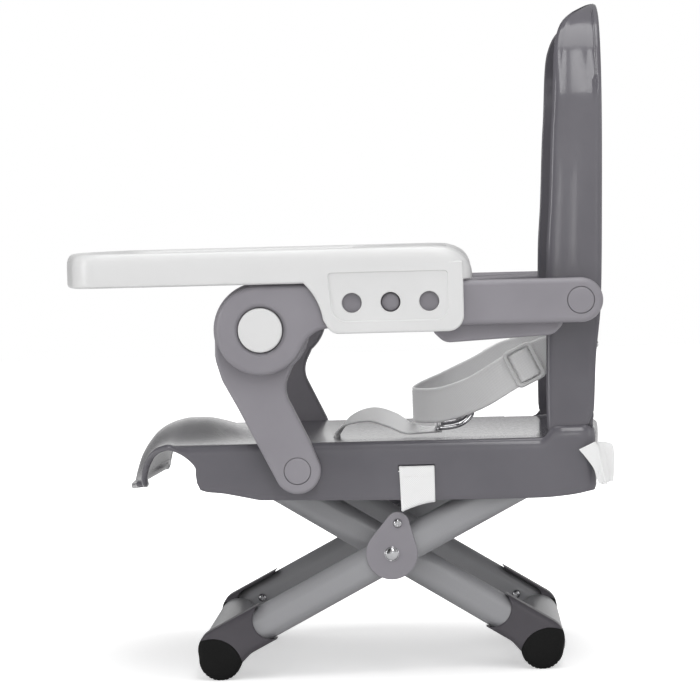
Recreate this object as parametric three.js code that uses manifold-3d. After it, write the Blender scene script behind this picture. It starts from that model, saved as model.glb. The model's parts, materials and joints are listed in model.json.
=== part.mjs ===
import * as THREE from "three";
import { mergeVertices } from "three/addons/utils/BufferGeometryUtils.js";
import Module from "manifold-3d";

const wasm = await Module();
wasm.setup();

// A child's folding booster seat on two crossed leg frames, with knee-jointed arms and a tray.
// Millimetres. x runs from the tray to the backrest, y across the seat, z up from the floor.
// The side view is measured from the crossing of the legs. The left side is at negative y.

// general clearances
const clearance = 0.3;
const runningGap = 0.4;
const overrun = 2;

// layers across the seat, from the middle outwards
const seatHalfWidth = 143;
const skirtWall = 3;
const wingGap = 0.5;
const wingWall = 3.5;
const strutGap = 4;
const strutThickness = 12.5;
const layerGap = 1;
const armThickness = 12.5;
const trayGap = 1.3;
const trayWall = 4;
const legTubeDepth = 18;
const legSideGap = 5;
const legGap = 6;
const skirtInner = seatHalfWidth - skirtWall;
const backHalfWidth = skirtInner - wingGap;
const wingInner = backHalfWidth - wingWall;
const strutInner = seatHalfWidth + strutGap;
const strutOuter = strutInner + strutThickness;
const armInner = strutOuter + layerGap;
const armOuter = armInner + armThickness;
const trayInner = armOuter + trayGap;
const trayOuter = trayInner + trayWall;
const outerLegOuter = skirtInner - legSideGap;
const outerLegInner = outerLegOuter - legTubeDepth;
const innerLegOuter = outerLegInner - legGap;
const innerLegInner = innerLegOuter - legTubeDepth;

// pivots in the side view, their heights from the seat's rim
const seatRimHeight = 165;
const strutPivotDrop = 18.2;
const kneeRise = 80;
const armPivotRise = 95.5;
const backHingeRise = 14.7;
const legPivotDrop = 30.6;
const hubDrop = 48.3;
const strutPivot = [-63.2, seatRimHeight - strutPivotDrop];
const knee = [-85.7, seatRimHeight + kneeRise];
const armPivot = [134.4, seatRimHeight + armPivotRise];
const backHinge = [131.7, seatRimHeight + backHingeRise];
const legPivotHeight = seatRimHeight - legPivotDrop;
const hubHeight = legPivotHeight - hubDrop;
const outerLegAngle = THREE.MathUtils.degToRad(27.6);
const innerLegAngle = THREE.MathUtils.degToRad(31.4);

// materials
const plastic = (name, color, roughness, metalness = 0) => {
  const material = new THREE.MeshStandardMaterial({ color, roughness, metalness });
  material.name = name;
  return material;
};
const finishes = {
  seat: ["seat_plastic", 0x69686c, 0.28],
  arm: ["arm_plastic", 0x8d8a90, 0.45],
  shoe: ["shoe_plastic", 0x545156, 0.4],
  tube: ["painted_tube", 0x99989b, 0.4],
  rubber: ["black_rubber", 0x1e1e1e, 0.75],
  white: ["white_plastic", 0xefefef, 0.35],
  webbing: ["white_webbing", 0xe2e2e2, 0.9],
  steel: ["chrome_steel", 0xc4c4c6, 0.2, 1],
};

// outlines
const chordError = 0.2;
const sharpestShare = 0.5;
const full = 2 * Math.PI;

// the widest step round an arc whose chords stay within the chord error
const arcStep = (radius) => 2 * Math.acos(1 - Math.min(chordError / radius, sharpestShare));

function arc([x, z], radius, from, to) {
  const steps = Math.max(2, Math.ceil(Math.abs(to - from) / arcStep(radius)));
  return Array.from({ length: steps + 1 }, (_, i) => {
    const angle = from + ((to - from) * i) / steps;
    return [x + radius * Math.cos(angle), z + radius * Math.sin(angle)];
  });
}

function circle(centre, radius) {
  return arc(centre, radius, 0, full).slice(0, -1);
}

function rounded(corners) {
  return corners.flatMap(([x, z, radius = 0], i) => {
    if (radius === 0) return [[x, z]];
    const corner = new THREE.Vector2(x, z);
    const [before, after] = [i + corners.length - 1, i + 1].map((k) => {
      const [a, b] = corners[k % corners.length];
      return new THREE.Vector2(a, b).sub(corner);
    });
    const half = Math.acos(before.dot(after) / (before.length() * after.length())) / 2;
    const longest = Math.min(before.length(), after.length()) / 2;
    const reach = Math.min(radius / Math.tan(half), longest);
    const turnRadius = reach * Math.tan(half);
    before.normalize();
    after.normalize();
    const middle = before.clone().add(after).normalize();
    const centre = corner.clone().addScaledVector(middle, turnRadius / Math.sin(half));
    const start = corner.clone().addScaledVector(before, reach).sub(centre).angle();
    const end = corner.clone().addScaledVector(after, reach).sub(centre).angle();
    let turn = end - start;
    if (turn > Math.PI) turn -= full;
    if (turn < -Math.PI) turn += full;
    return arc([centre.x, centre.y], turnRadius, start, start + turn);
  });
}

function rectangle(low, high, radius = 0) {
  return rounded([
    [low[0], low[1], radius],
    [high[0], low[1], radius],
    [high[0], high[1], radius],
    [low[0], high[1], radius],
  ]);
}

// the outline of a link: a belt round two circles
function link(a, radiusA, b, radiusB) {
  const along = Math.atan2(b[1] - a[1], b[0] - a[0]);
  const distance = Math.hypot(b[0] - a[0], b[1] - a[1]);
  const lean = Math.acos((radiusA - radiusB) / distance);
  return [
    ...arc(a, radiusA, along + lean, along + full - lean),
    ...arc(b, radiusB, along - lean, along + lean),
  ];
}

// six times the volume inside the faces, negative where they point inwards
function signedVolume(positions, faces) {
  const corner = (i) => new THREE.Vector3().fromArray(positions, 3 * faces[i]);
  let sum = 0;
  for (let i = 0; i < faces.length; i += 3) {
    sum += corner(i).dot(corner(i + 1).cross(corner(i + 2)));
  }
  return sum;
}

// a closed solid, with its faces turned outwards whatever way its outline was drawn
function solid(geometry) {
  geometry.deleteAttribute("normal");
  geometry.deleteAttribute("uv");
  const merged = mergeVertices(geometry);
  const vertProperties = new Float32Array(merged.attributes.position.array);
  const triVerts = new Uint32Array(merged.index.array);
  if (signedVolume(vertProperties, triVerts) < 0) triVerts.reverse();
  return new wasm.Manifold(new wasm.Mesh({ numProp: 3, vertProperties, triVerts }));
}

function extruded(points, depth, holes = []) {
  const shape = new THREE.Shape(points.map(([a, b]) => new THREE.Vector2(a, b)));
  shape.holes = holes.map((hole) => new THREE.Path(hole.map(([a, b]) => new THREE.Vector2(a, b))));
  return new THREE.ExtrudeGeometry(shape, { depth, bevelEnabled: false });
}

// a side view outline carried across the seat between two values of y
function sidePlate(points, from, to, holes) {
  const geometry = extruded(points, Math.abs(to - from), holes);
  geometry.rotateX(Math.PI / 2);
  geometry.translate(0, Math.max(from, to), 0);
  return solid(geometry);
}

// a plan outline carried up between two heights
function planPlate(points, low, high, holes) {
  const geometry = extruded(points, high - low, holes);
  geometry.translate(0, 0, low);
  return solid(geometry);
}

// a front view outline carried back between two values of x
function frontPlate(points, front, back, holes) {
  const geometry = extruded(points, back - front, holes);
  const turn = new THREE.Matrix4().makeBasis(
    new THREE.Vector3(0, 1, 0),
    new THREE.Vector3(0, 0, 1),
    new THREE.Vector3(1, 0, 0),
  );
  geometry.applyMatrix4(turn);
  geometry.translate(front, 0, 0);
  return solid(geometry);
}

const rod = (centre, radius, from, to) => sidePlate(circle(centre, radius), from, to);

// a turned piece about an axis across the seat, from a profile of [radius, distance out]
function turned(profile, [x, z], side) {
  const points = profile.map(([radius, out]) => new THREE.Vector2(radius, side * out));
  if (side < 0) points.reverse();
  const widest = Math.max(...profile.map(([radius]) => radius));
  const geometry = new THREE.LatheGeometry(points, Math.ceil(full / arcStep(widest)));
  geometry.translate(x, 0, z);
  return solid(geometry);
}

// a closed skin through rings of points, each ring with as many points as the next
function loft(rings) {
  const count = rings[0].length;
  const positions = rings.flat().flatMap((p) => [p.x, p.y, p.z]);
  const faces = [];
  for (let i = 0; i + 1 < rings.length; i += 1) {
    for (let j = 0; j < count; j += 1) {
      const a = i * count + j;
      const b = i * count + ((j + 1) % count);
      faces.push(a, b, b + count, a, b + count, a + count);
    }
  }
  const last = (rings.length - 1) * count;
  for (let j = 1; j + 1 < count; j += 1) {
    faces.push(0, j + 1, j);
    faces.push(last, last + j, last + j + 1);
  }
  const geometry = new THREE.BufferGeometry();
  geometry.setAttribute("position", new THREE.Float32BufferAttribute(positions, 3));
  geometry.setIndex(faces);
  return solid(geometry);
}

// a sheet of even thickness over a grid of surface points
function sheet(surface, inward, thickness, uSteps, vSteps) {
  const rings = [];
  for (let i = 0; i <= uSteps; i += 1) {
    const top = [];
    const under = [];
    for (let j = 0; j <= vSteps; j += 1) {
      const u = i / uSteps;
      const v = (2 * j) / vSteps - 1;
      const point = surface(u, v);
      top.push(point);
      under.unshift(point.clone().addScaledVector(inward(u), thickness));
    }
    rings.push([...top, ...under]);
  }
  const count = rings[0].length;
  const half = vSteps + 1;
  const positions = rings.flat().flatMap((p) => [p.x, p.y, p.z]);
  const faces = [];
  for (let i = 0; i < uSteps; i += 1) {
    for (let j = 0; j < count; j += 1) {
      const a = i * count + j;
      const b = i * count + ((j + 1) % count);
      faces.push(a, a + count, b + count, a, b + count, b);
    }
  }
  const last = uSteps * count;
  for (let j = 0; j + 1 < half; j += 1) {
    const [a, b, c, d] = [j, j + 1, count - 2 - j, count - 1 - j];
    faces.push(a, b, c, a, c, d);
    faces.push(last + a, last + c, last + b, last + a, last + d, last + c);
  }
  const geometry = new THREE.BufferGeometry();
  geometry.setAttribute("position", new THREE.Float32BufferAttribute(positions, 3));
  geometry.setIndex(faces);
  return solid(geometry);
}

const chair = new THREE.Group();

function add(name, manifold, finish) {
  const { vertProperties, triVerts } = manifold.getMesh();
  const geometry = new THREE.BufferGeometry();
  geometry.setAttribute("position", new THREE.Float32BufferAttribute(vertProperties, 3));
  geometry.setIndex(Array.from(triVerts));
  const mesh = new THREE.Mesh(geometry, plastic(...finishes[finish]));
  mesh.name = name;
  chair.add(mesh);
}

const sides = [["left", -1], ["right", 1]];

// points given as shares of a box: [share of its length, share of its height, corner radius share]
function placed(shares, [x, z], [length, height]) {
  return shares.map(([a, b, c = 0]) => [x + a * length, z + b * height, c * height]);
}

// a strap or ribbon seen from its edge
function ribbon(points, thickness) {
  const curve = new THREE.SplineCurve(points.map(([x, z]) => new THREE.Vector2(x, z)));
  const steps = 4 * (points.length - 1);
  const edges = [[], []];
  for (let i = 0; i <= steps; i += 1) {
    const point = curve.getPoint(i / steps);
    const tangent = curve.getTangent(i / steps);
    const reach = thickness / 2;
    edges[0].push([point.x - tangent.y * reach, point.y + tangent.x * reach]);
    edges[1].unshift([point.x + tangent.y * reach, point.y - tangent.x * reach]);
  }
  return edges.flat();
}

// seat: a moulded pan whose front rolls over into a lip, with a pommel and a skirt round it
const panThickness = 3;
const panDish = 5;
const seatRear = 147;
const lipShoulder = -140;
const lipFront = -183;
const lipDrop = 32;
const lipSetIn = 43;
const lipHalfWidth = seatHalfWidth - lipSetIn;
const lipBead = 2.6;
const lipNarrowingShare = 0.75;
const lipForwardShare = 0.7;
const lipReturnShare = 0.08;
const lipKneeShare = 0.3;
const pommelHeight = 13;
const pommelPlace = -146;
const pommelLength = 44;
const pommelFadeShare = 0.45;
const pommelLeftShare = 0.4;
const dishEndShare = 0.2;
const panShare = 0.36;
const skirtDrop = 41;
const rearWallDrop = 15;
const frontRibPlace = -132;
const webbingWidth = 25;
const webbingThickness = 1.8;
const slotWidth = 5;
const crotchSlotPlace = -41;
const sideStrapFront = 6.2;
const sideSlotDrop = 19;
const sideSlotHeight = seatRimHeight - sideSlotDrop;
const strutBossRadius = 12;
const pivotShaftRadius = 5;
const hingeRodRadius = 4;
const wingSlotFront = 91.5;
const wingSlotBack = 146;
const skirtBottom = seatRimHeight - skirtDrop;
const wingSlotInner = wingInner - wingGap;
const skirtShares = [
  [-0.02, 0.96],
  [-0.033, 0.87],
  [0.016, 0.634],
  [0.019, 0.22, 0.2],
  [0.084, 0.207],
  [0.125, 0.078, 0.5],
  [0.174, 0.02],
  [0.826, 0],
  [0.962, 0.073, 0.7],
  [1, 0.195, 0.2],
  [1, 1.23, 0.07],
  [0.871, 1.23, 0.07],
  [0.857, 1.037, 0.2],
  [0.808, 0.96],
];

const lipCurve = new THREE.CubicBezierCurve(
  new THREE.Vector2(lipShoulder, seatRimHeight),
  new THREE.Vector2(THREE.MathUtils.lerp(lipShoulder, lipFront, lipForwardShare), seatRimHeight),
  new THREE.Vector2(THREE.MathUtils.lerp(lipFront, lipShoulder, lipReturnShare), seatRimHeight - lipKneeShare * lipDrop),
  new THREE.Vector2(lipFront, seatRimHeight - lipDrop),
);
const lipPart = (u) => THREE.MathUtils.clamp((u - panShare) / (1 - panShare), 0, 1);

function seatProfile(u) {
  if (u > panShare) return lipCurve.getPoint(lipPart(u));
  return new THREE.Vector2(THREE.MathUtils.lerp(seatRear, lipShoulder, u / panShare), seatRimHeight);
}

function seatInward(u) {
  if (u <= panShare) return new THREE.Vector3(0, 0, -1);
  const tangent = lipCurve.getTangent(lipPart(u));
  return new THREE.Vector3(-tangent.y, 0, tangent.x).normalize();
}

// the pan's top: level rim, shallow dish, and the pommel that fades down the lip
function seatSurface(u, v) {
  const profile = seatProfile(u);
  const lip = lipPart(u);
  const narrowing = THREE.MathUtils.smoothstep(lip, 0, lipNarrowingShare);
  const halfWidth = THREE.MathUtils.lerp(seatHalfWidth, lipHalfWidth, narrowing);
  const away = (profile.x - pommelPlace) / pommelLength;
  const faded = 1 - (1 - pommelLeftShare) * THREE.MathUtils.smoothstep(lip, pommelFadeShare, 1);
  const along = lip > pommelFadeShare ? faded : Math.exp(-away * away);
  const across = Math.cos((v * Math.PI) / 2) ** 2;
  const dish = panDish * (1 - v ** 2) * (1 - THREE.MathUtils.smoothstep(u, dishEndShare, panShare));
  const point = new THREE.Vector3(profile.x, v * halfWidth, profile.y);
  return point.addScaledVector(seatInward(u), dish - pommelHeight * along * across);
}

const seatSteps = [22, 12];
const seatSheet = (lift, thickness) => sheet(
  (u, v) => seatSurface(u, v).addScaledVector(seatInward(u), -lift),
  seatInward,
  thickness,
  ...seatSteps,
);
const underPan = (piece) => piece.subtract(seatSheet(skirtDrop, skirtDrop + panThickness + clearance));
const onPan = (piece) => piece.subtract(seatSheet(clearance, skirtDrop));
const skirtOutline = rounded(placed(skirtShares, [lipShoulder, skirtBottom], [seatRear - lipShoulder, skirtDrop]));

// the rolled edge along the bottom of the lip
function rolledBead() {
  const steps = seatSteps[1];
  const end = 1 - lipBead / lipHalfWidth;
  return loft(Array.from({ length: steps + 1 }, (_, i) => {
    const v = THREE.MathUtils.clamp((2 * i) / steps - 1, -end, end);
    const centre = seatSurface(1, v).addScaledVector(seatInward(1), panThickness / 2);
    return circle([centre.x, centre.z], lipBead).map(([x, z]) => new THREE.Vector3(x, centre.y, z));
  }));
}

function seatShell() {
  const rim = seatRimHeight - panThickness / 2;
  const wallHalf = seatHalfWidth - skirtWall / 2;
  const crossWall = (front, drop) => frontPlate(
    rectangle([-wallHalf, seatRimHeight - drop], [wallHalf, rim]),
    front,
    front + skirtWall,
  );
  let shell = seatSheet(0, panThickness)
    .add(rolledBead())
    .add(crossWall(seatRear - skirtWall, rearWallDrop))
    .add(crossWall(frontRibPlace, rearWallDrop));
  for (const [, side] of sides) {
    const slotLow = [wingSlotFront, Math.min(side * wingSlotInner, side * skirtInner)];
    const slotHigh = [wingSlotBack, Math.max(side * wingSlotInner, side * skirtInner)];
    const sideSlot = rectangle(
      [sideStrapFront - clearance, sideSlotHeight - slotWidth / 2],
      [sideStrapFront + webbingWidth + clearance, sideSlotHeight + slotWidth / 2],
    );
    const throughSkirt = [side * (skirtInner - overrun), side * (seatHalfWidth + overrun)];
    const bossEnd = side * (strutInner - clearance);
    shell = shell
      .add(sidePlate(skirtOutline, side * skirtInner, side * seatHalfWidth))
      .add(rod(strutPivot, strutBossRadius, side * skirtInner, bossEnd))
      .subtract(planPlate(rectangle(slotLow, slotHigh), skirtBottom, seatRimHeight + overrun))
      .subtract(rod(strutPivot, pivotShaftRadius + clearance, throughSkirt[0], bossEnd + side * overrun))
      .subtract(sidePlate(sideSlot, ...throughSkirt));
  }
  const slotReach = webbingWidth / 2 + clearance;
  const crotchSlot = rectangle(
    [crotchSlotPlace - slotWidth / 2, -slotReach],
    [crotchSlotPlace + slotWidth / 2, slotReach],
  );
  return shell.subtract(planPlate(crotchSlot, skirtBottom, seatRimHeight + overrun));
}
add("seat_shell", seatShell(), "seat");

// leg frames: each a pair of oval tubes joined by a round cross tube between its shoes
const tubeHeight = 24.6;
const tubeWall = 1.6;
const crossTubeRadius = 12.5;
const shoeWidth = 27.4;
const outerShoeDepth = 24;
const innerShoeDepth = 21;
const shoeTip = 41.6;
const scallopRadius = 14.4;
const footRadius = 15;
const footFlat = 0.4;
const footDrop = 7;
const tubeSeat = 22;
const tubeOverhang = 9;
const soleRadius = 21;
const soleOffset = [-5.5, -6.5];
const axleRadius = 5;
const sliderRadius = 4;
const rivetRadius = 4;
const highLift = THREE.MathUtils.degToRad(14);
const footHeight = footRadius - footFlat;
const hub = [0, hubHeight];
const angleRatio = outerLegAngle / innerLegAngle;

// a leg lies along its axis; its shoe is to the left (way -1) or to the right (way 1)
function legFrame(angle, way, shoeDepth, tubeOuter, tubeInner) {
  const reach = (hubHeight - footHeight - footDrop * Math.cos(angle)) / Math.sin(angle);
  const top = (legPivotHeight - hubHeight) / Math.sin(angle);
  const place = ([u, n]) => [
    way * ((reach - u) * Math.cos(angle) - footDrop * Math.sin(angle) + n * Math.sin(angle)),
    hubHeight - (reach - u) * Math.sin(angle) - footDrop * Math.cos(angle) + n * Math.cos(angle),
  ];
  return { angle, way, reach, top, place, shoeDepth, tubeOuter, tubeInner, foot: place([0, 0]), pivot: place([reach + top, footDrop]) };
}
const outerLeg = legFrame(outerLegAngle, -1, outerShoeDepth, outerLegOuter, outerLegInner);
const innerLeg = legFrame(innerLegAngle, 1, innerShoeDepth, innerLegOuter, innerLegInner);

function oval(height, width) {
  const straight = (height - width) / 2;
  return [
    ...arc([0, straight], width / 2, 0, Math.PI),
    ...arc([0, -straight], width / 2, Math.PI, full),
  ];
}

// an oval bar along a leg's axis between two distances from its foot
function legBar(leg, from, to, height, width, middle, bore) {
  const holes = bore ? [oval(height - 2 * bore, width - 2 * bore).reverse()] : [];
  const geometry = extruded(oval(height, width), to - from, holes);
  const [ax, az] = leg.place([from, footDrop]);
  const [bx, bz] = leg.place([to, footDrop]);
  const axis = new THREE.Vector3(bx - ax, 0, bz - az).normalize();
  const across = new THREE.Vector3(0, 1, 0);
  geometry.applyMatrix4(new THREE.Matrix4().makeBasis(across, new THREE.Vector3(axis.z, 0, -axis.x), axis));
  geometry.translate(ax, middle, az);
  return solid(geometry);
}

function shoeOutline(leg) {
  const half = shoeWidth / 2;
  const high = footDrop + half;
  const low = footDrop - half;
  const chord = Math.sqrt(scallopRadius ** 2 - half ** 2);
  const open = Math.acos(chord / scallopRadius);
  const lean = THREE.MathUtils.degToRad(40);
  const toe = THREE.MathUtils.degToRad(210);
  return [
    ...arc([shoeTip + chord, footDrop], scallopRadius, Math.PI - open, Math.PI + open),
    ...rounded([[shoeTip, low], [shoeTip / 2, low, footRadius], [footRadius * Math.cos(lean), -footRadius * Math.sin(lean)]]).slice(1, -1),
    ...arc([0, 0], footRadius, -lean, -toe),
    ...rounded([[-footRadius, footDrop], [-footRadius / 3, high, footRadius / 3], [shoeTip, high]]).slice(1, -1),
  ].map((point) => leg.place(point));
}

function addLeg(name, leg, pivotRadius) {
  const middle = (leg.tubeOuter + leg.tubeInner) / 2;
  const shoeOuter = middle + leg.shoeDepth / 2;
  const shoeInner = middle - leg.shoeDepth / 2;
  const tubeTop = leg.reach + leg.top + tubeOverhang;
  const sole = [leg.foot[0] - leg.way * soleOffset[0], leg.foot[1] + soleOffset[1]];
  for (const [label, side] of sides) {
    const block = sidePlate(shoeOutline(leg), side * shoeInner, side * shoeOuter);
    const floor = rectangle([leg.foot[0] - shoeTip, -footRadius], [leg.foot[0] + shoeTip, 0]);
    const grounded = block.subtract(sidePlate(floor, side * (shoeInner - overrun), side * (shoeOuter + overrun)));
    const throughShoe = [side * (shoeInner - overrun), side * (shoeOuter + overrun)];
    const socket = legBar(
      leg,
      tubeSeat - clearance,
      leg.reach,
      tubeHeight + 2 * clearance,
      leg.tubeOuter - leg.tubeInner + 2 * clearance,
      side * middle,
    );
    const shell = grounded.subtract(rod(sole, soleRadius + clearance, ...throughShoe)).subtract(socket);
    add(`${name}_shoe_${label}`, shell, "shoe");
    add(`${name}_foot_pad_${label}`, grounded.intersect(rod(sole, soleRadius, ...throughShoe)), "rubber");
    const throughTube = [side * (leg.tubeInner - overrun), side * (leg.tubeOuter + overrun)];
    const tube = legBar(leg, tubeSeat, tubeTop, tubeHeight, leg.tubeOuter - leg.tubeInner, side * middle, tubeWall)
      .subtract(rod(hub, rivetRadius + clearance, ...throughTube))
      .subtract(rod(leg.pivot, pivotRadius + clearance, ...throughTube));
    add(`${name}_tube_${label}`, tube, "tube");
  }
  const crossEnd = shoeInner - clearance;
  const crossBore = circle(leg.foot, crossTubeRadius - tubeWall).reverse();
  add(`${name}_cross_tube`, sidePlate(circle(leg.foot, crossTubeRadius), -crossEnd, crossEnd, [crossBore]), "tube");
}
addLeg("outer_leg", outerLeg, sliderRadius);
addLeg("inner_leg", innerLeg, axleRadius);
const axleEnd = innerLegOuter - clearance;
add("front_leg_axle", rod(innerLeg.pivot, axleRadius, -axleEnd, axleEnd), "steel");

// hub: cover with a lobe towards the seat, shoulder rivet and the lobe's screw
const coverRadius = 18;
const coverThickness = 2;
const lobeRadius = 8;
const lobePlace = [4.5, 21.3];
const rivetHeadRadius = 5;
const rivetDome = 1.8;
const screwHeadRadius = 3.4;
const screwHead = 0.9;
const shoulderRadius = 9;
const screwRadius = 1.4;
const coverInner = outerLegOuter + clearance;
const coverOuter = coverInner + coverThickness;
const lobe = [hub[0] + lobePlace[0], hub[1] + lobePlace[1]];
for (const [label, side] of sides) {
  const cover = sidePlate(link(hub, coverRadius, lobe, lobeRadius), side * coverInner, side * coverOuter)
    .subtract(rod(hub, rivetRadius + clearance, side * (coverInner - overrun), side * (coverOuter + overrun)))
    .subtract(rod(lobe, screwRadius + clearance, side * (coverInner - overrun), side * (coverOuter + overrun)));
  add(`hub_cover_${label}`, cover, "arm");
  const headSeat = coverOuter + clearance;
  add(`hub_rivet_${label}`, turned([
    [0, innerLegInner],
    [rivetRadius, innerLegInner],
    [rivetRadius, innerLegOuter + clearance],
    [shoulderRadius, innerLegOuter + clearance],
    [shoulderRadius, outerLegInner - clearance],
    [rivetRadius, outerLegInner - clearance],
    [rivetRadius, headSeat],
    [rivetHeadRadius, headSeat],
    [rivetHeadRadius * Math.cos(Math.PI / 6), headSeat + rivetDome / 2],
    [rivetHeadRadius / 2, headSeat + rivetDome * Math.cos(Math.PI / 6)],
    [0, headSeat + rivetDome],
  ], hub, side), "steel");
  add(`hub_screw_${label}`, turned([
    [0, coverInner],
    [screwRadius, coverInner],
    [screwRadius, coverOuter + clearance],
    [screwHeadRadius, coverOuter + clearance],
    [screwHeadRadius * Math.cos(Math.PI / 6), coverOuter + screwHead],
    [0, coverOuter + screwHead],
  ], lobe, side), "steel");
}

// under the seat: hangers for the front axle, slotted rails for the outer legs' slider pins
const hangerGap = 5;
const hangerThickness = 4;
const hangerRadius = 9.5;
const railWidth = 3.5;
const railBorder = 7;
const railHeight = 24;
const slotPlay = 1.4;
const hangerOuter = innerLegInner - hangerGap;
const hangerInner = hangerOuter - hangerThickness;
const railOuter = skirtInner - clearance;
const railInner = railOuter - railWidth;
const slideAt = (lift) => {
  const inner = innerLegAngle + lift;
  return innerLeg.pivot[0] + innerLeg.top * Math.cos(inner) + outerLeg.top * Math.cos(angleRatio * inner);
};
const slotRadius = sliderRadius + slotPlay;
const slotEnds = [slideAt(highLift) - slotPlay, slideAt(-innerLegAngle) + slotPlay].map((x) => [x, legPivotHeight]);
for (const [label, side] of sides) {
  const pivot = innerLeg.pivot;
  const web = rectangle([pivot[0] - hangerRadius, pivot[1]], [pivot[0] + hangerRadius, seatRimHeight]);
  const hanger = rod(pivot, hangerRadius, side * hangerInner, side * hangerOuter)
    .add(sidePlate(web, side * hangerInner, side * hangerOuter))
    .subtract(rod(pivot, axleRadius + runningGap, side * (hangerInner - overrun), side * (hangerOuter + overrun)));
  add(`axle_hanger_${label}`, underPan(hanger), "seat");
  const railLow = [slotEnds[0][0] - slotRadius - railBorder, legPivotHeight - railHeight / 2 + railBorder / 2];
  const railHigh = [slotEnds[1][0] + slotRadius + railBorder / 2, legPivotHeight + railHeight / 2 + railBorder / 2];
  const rail = sidePlate(rectangle(railLow, railHigh, railBorder / 2), side * railInner, side * railOuter)
    .subtract(sidePlate(link(slotEnds[0], slotRadius, slotEnds[1], slotRadius), side * (railInner - overrun), side * (railOuter + overrun)));
  add(`slide_rail_${label}`, rail, "seat");
  const pinEnds = [side * (outerLegInner + clearance), side * (skirtInner - clearance - clearance)];
  add(`slider_pin_${label}`, rod(outerLeg.pivot, sliderRadius, ...pinEnds), "steel");
}

// back hinge: blocks that stand on the pan inside the wings, and one rod through both
const blockWidth = 8;
const blockRadius = 11;
const blockFoot = 24;
const blockOuter = wingInner - layerGap;
const blockInner = blockOuter - blockWidth;
const rodEnd = backHalfWidth - clearance;
for (const [label, side] of sides) {
  const foot = rectangle(
    [backHinge[0] - blockFoot / 2, seatRimHeight - skirtDrop / 4],
    [backHinge[0] + blockFoot / 2, backHinge[1] - blockRadius / 2],
  );
  const block = rod(backHinge, blockRadius, side * blockInner, side * blockOuter)
    .add(sidePlate(foot, side * blockInner, side * blockOuter))
    .subtract(rod(backHinge, hingeRodRadius + clearance, side * (blockInner - overrun), side * (blockOuter + overrun)));
  add(`hinge_block_${label}`, onPan(block), "seat");
}
add("back_hinge_rod", rod(backHinge, hingeRodRadius, -rodEnd, rodEnd), "steel");

// backrest: a shell with side wings, a recessed panel and an inset rear cover
const backDepth = 45.5;
const backHeight = 289.8;
const backFront = 110;
const backTopRadius = 72;
const panelThickness = 3;
const panelMargin = 14;
const coverMargin = 9;
const rearCoverThickness = 2.5;
const hingeEndRadius = 13.5;
const beltSetIn = 38;
const beltRise = 59;
const beltSlotLength = 31;
const beltSlotPlace = wingInner - beltSetIn;
const beltSlotHeight = seatRimHeight + beltRise;
const armBossRadius = 14;
const blockRoom = 5;
const wingShares = [
  [0, 0.022],
  [0.048, 0.174],
  [0.095, 0.374],
  [0.165, 0.519],
  [0.209, 0.679],
  [0.242, 0.777],
  [0.286, 0.867, 0.08],
  [0.418, 0.936, 0.05],
  [0.62, 0.975, 0.05],
  [0.96, 1, 0.02],
  [1, 0.975, 0.02],
  [1, 0.774],
  [0.932, 0.37],
  [0.837, 0.153],
  [0.774, 0.036],
];
const panelShares = [
  [-1, -0.1],
  [0.264, -0.1],
  [0.352, 0.415],
  [0.462, 0.76],
  [0.64, 0.9],
  [0.95, 0.945],
  [-1, 0.945],
];
const rearShares = [
  [0.33, -0.1],
  [0.418, 0.415],
  [0.528, 0.76],
  [0.7, 0.9],
  [0.78, 0.945],
  [2, 0.945],
  [2, -0.1],
];
const coverShares = [
  [0.8, 0.1],
  [0.9, 0.37],
  [0.967, 0.774],
  [0.967, 0.94],
];
const backOrigin = [backFront, backHinge[1]];
const backSize = [backDepth, backHeight];

function backOutline(margin, sideMargin, bottom) {
  const half = backHalfWidth - sideMargin;
  const top = backHinge[1] + backHeight - margin;
  const low = backHinge[1] - bottom;
  const radius = backTopRadius - margin;
  return rounded([[-half, low], [half, low], [half, top, radius], [-half, top, radius]]);
}

function backShell() {
  const turn = THREE.MathUtils.degToRad(150);
  const wing = [
    ...rounded(placed(wingShares, backOrigin, backSize)),
    ...arc(backHinge, hingeEndRadius, 0, -turn),
  ];
  const farFront = backFront - backDepth;
  const farRear = backFront + 2 * backDepth;
  let shell = sidePlate(wing, -backHalfWidth, backHalfWidth)
    .intersect(frontPlate(backOutline(0, 0, backDepth), farFront, farRear))
    .subtract(sidePlate(placed(panelShares, backOrigin, backSize), -wingInner, wingInner)
      .intersect(frontPlate(backOutline(panelMargin, wingWall, backDepth), farFront, farRear)))
    .subtract(sidePlate(placed(rearShares, backOrigin, backSize), -wingInner, wingInner)
      .intersect(frontPlate(backOutline(coverMargin, wingWall, backDepth), farFront, farRear)));
  for (const [, side] of sides) {
    const room = rectangle(
      [backFront - backDepth, backHinge[1] - backDepth],
      [backFront + 2 * backDepth, backHinge[1] + blockRadius + blockRoom],
    );
    const beltRoom = webbingThickness / 2 + clearance;
    const beltSlot = rectangle(
      [side * beltSlotPlace - beltRoom, beltSlotHeight - beltSlotLength / 2],
      [side * beltSlotPlace + beltRoom, beltSlotHeight + beltSlotLength / 2],
    );
    const bossEnd = side * (strutInner - clearance);
    shell = shell
      .subtract(sidePlate(room, side * (blockInner - layerGap), side * wingInner))
      .subtract(rod(backHinge, hingeRodRadius + clearance, side * (wingInner - overrun), side * (backHalfWidth + overrun)))
      .subtract(frontPlate(beltSlot, backFront, backFront + backDepth / 2))
      .add(rod(armPivot, armBossRadius, side * wingInner, bossEnd))
      .subtract(rod(armPivot, pivotShaftRadius + clearance, side * (wingInner - overrun), bossEnd + side * overrun));
  }
  return shell;
}
add("backrest_shell", backShell(), "seat");

function rearCover() {
  const outer = placed(coverShares, backOrigin, backSize).map(([x, z]) => [x, z]);
  const inner = outer.map(([x, z]) => [x - rearCoverThickness, z]).reverse();
  const half = wingInner - clearance;
  return sidePlate([...outer, ...inner], -half, half)
    .intersect(frontPlate(backOutline(coverMargin + clearance, wingWall + clearance, 0), backFront, backFront + 2 * backDepth));
}
add("backrest_rear_cover", rearCover(), "seat");

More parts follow.
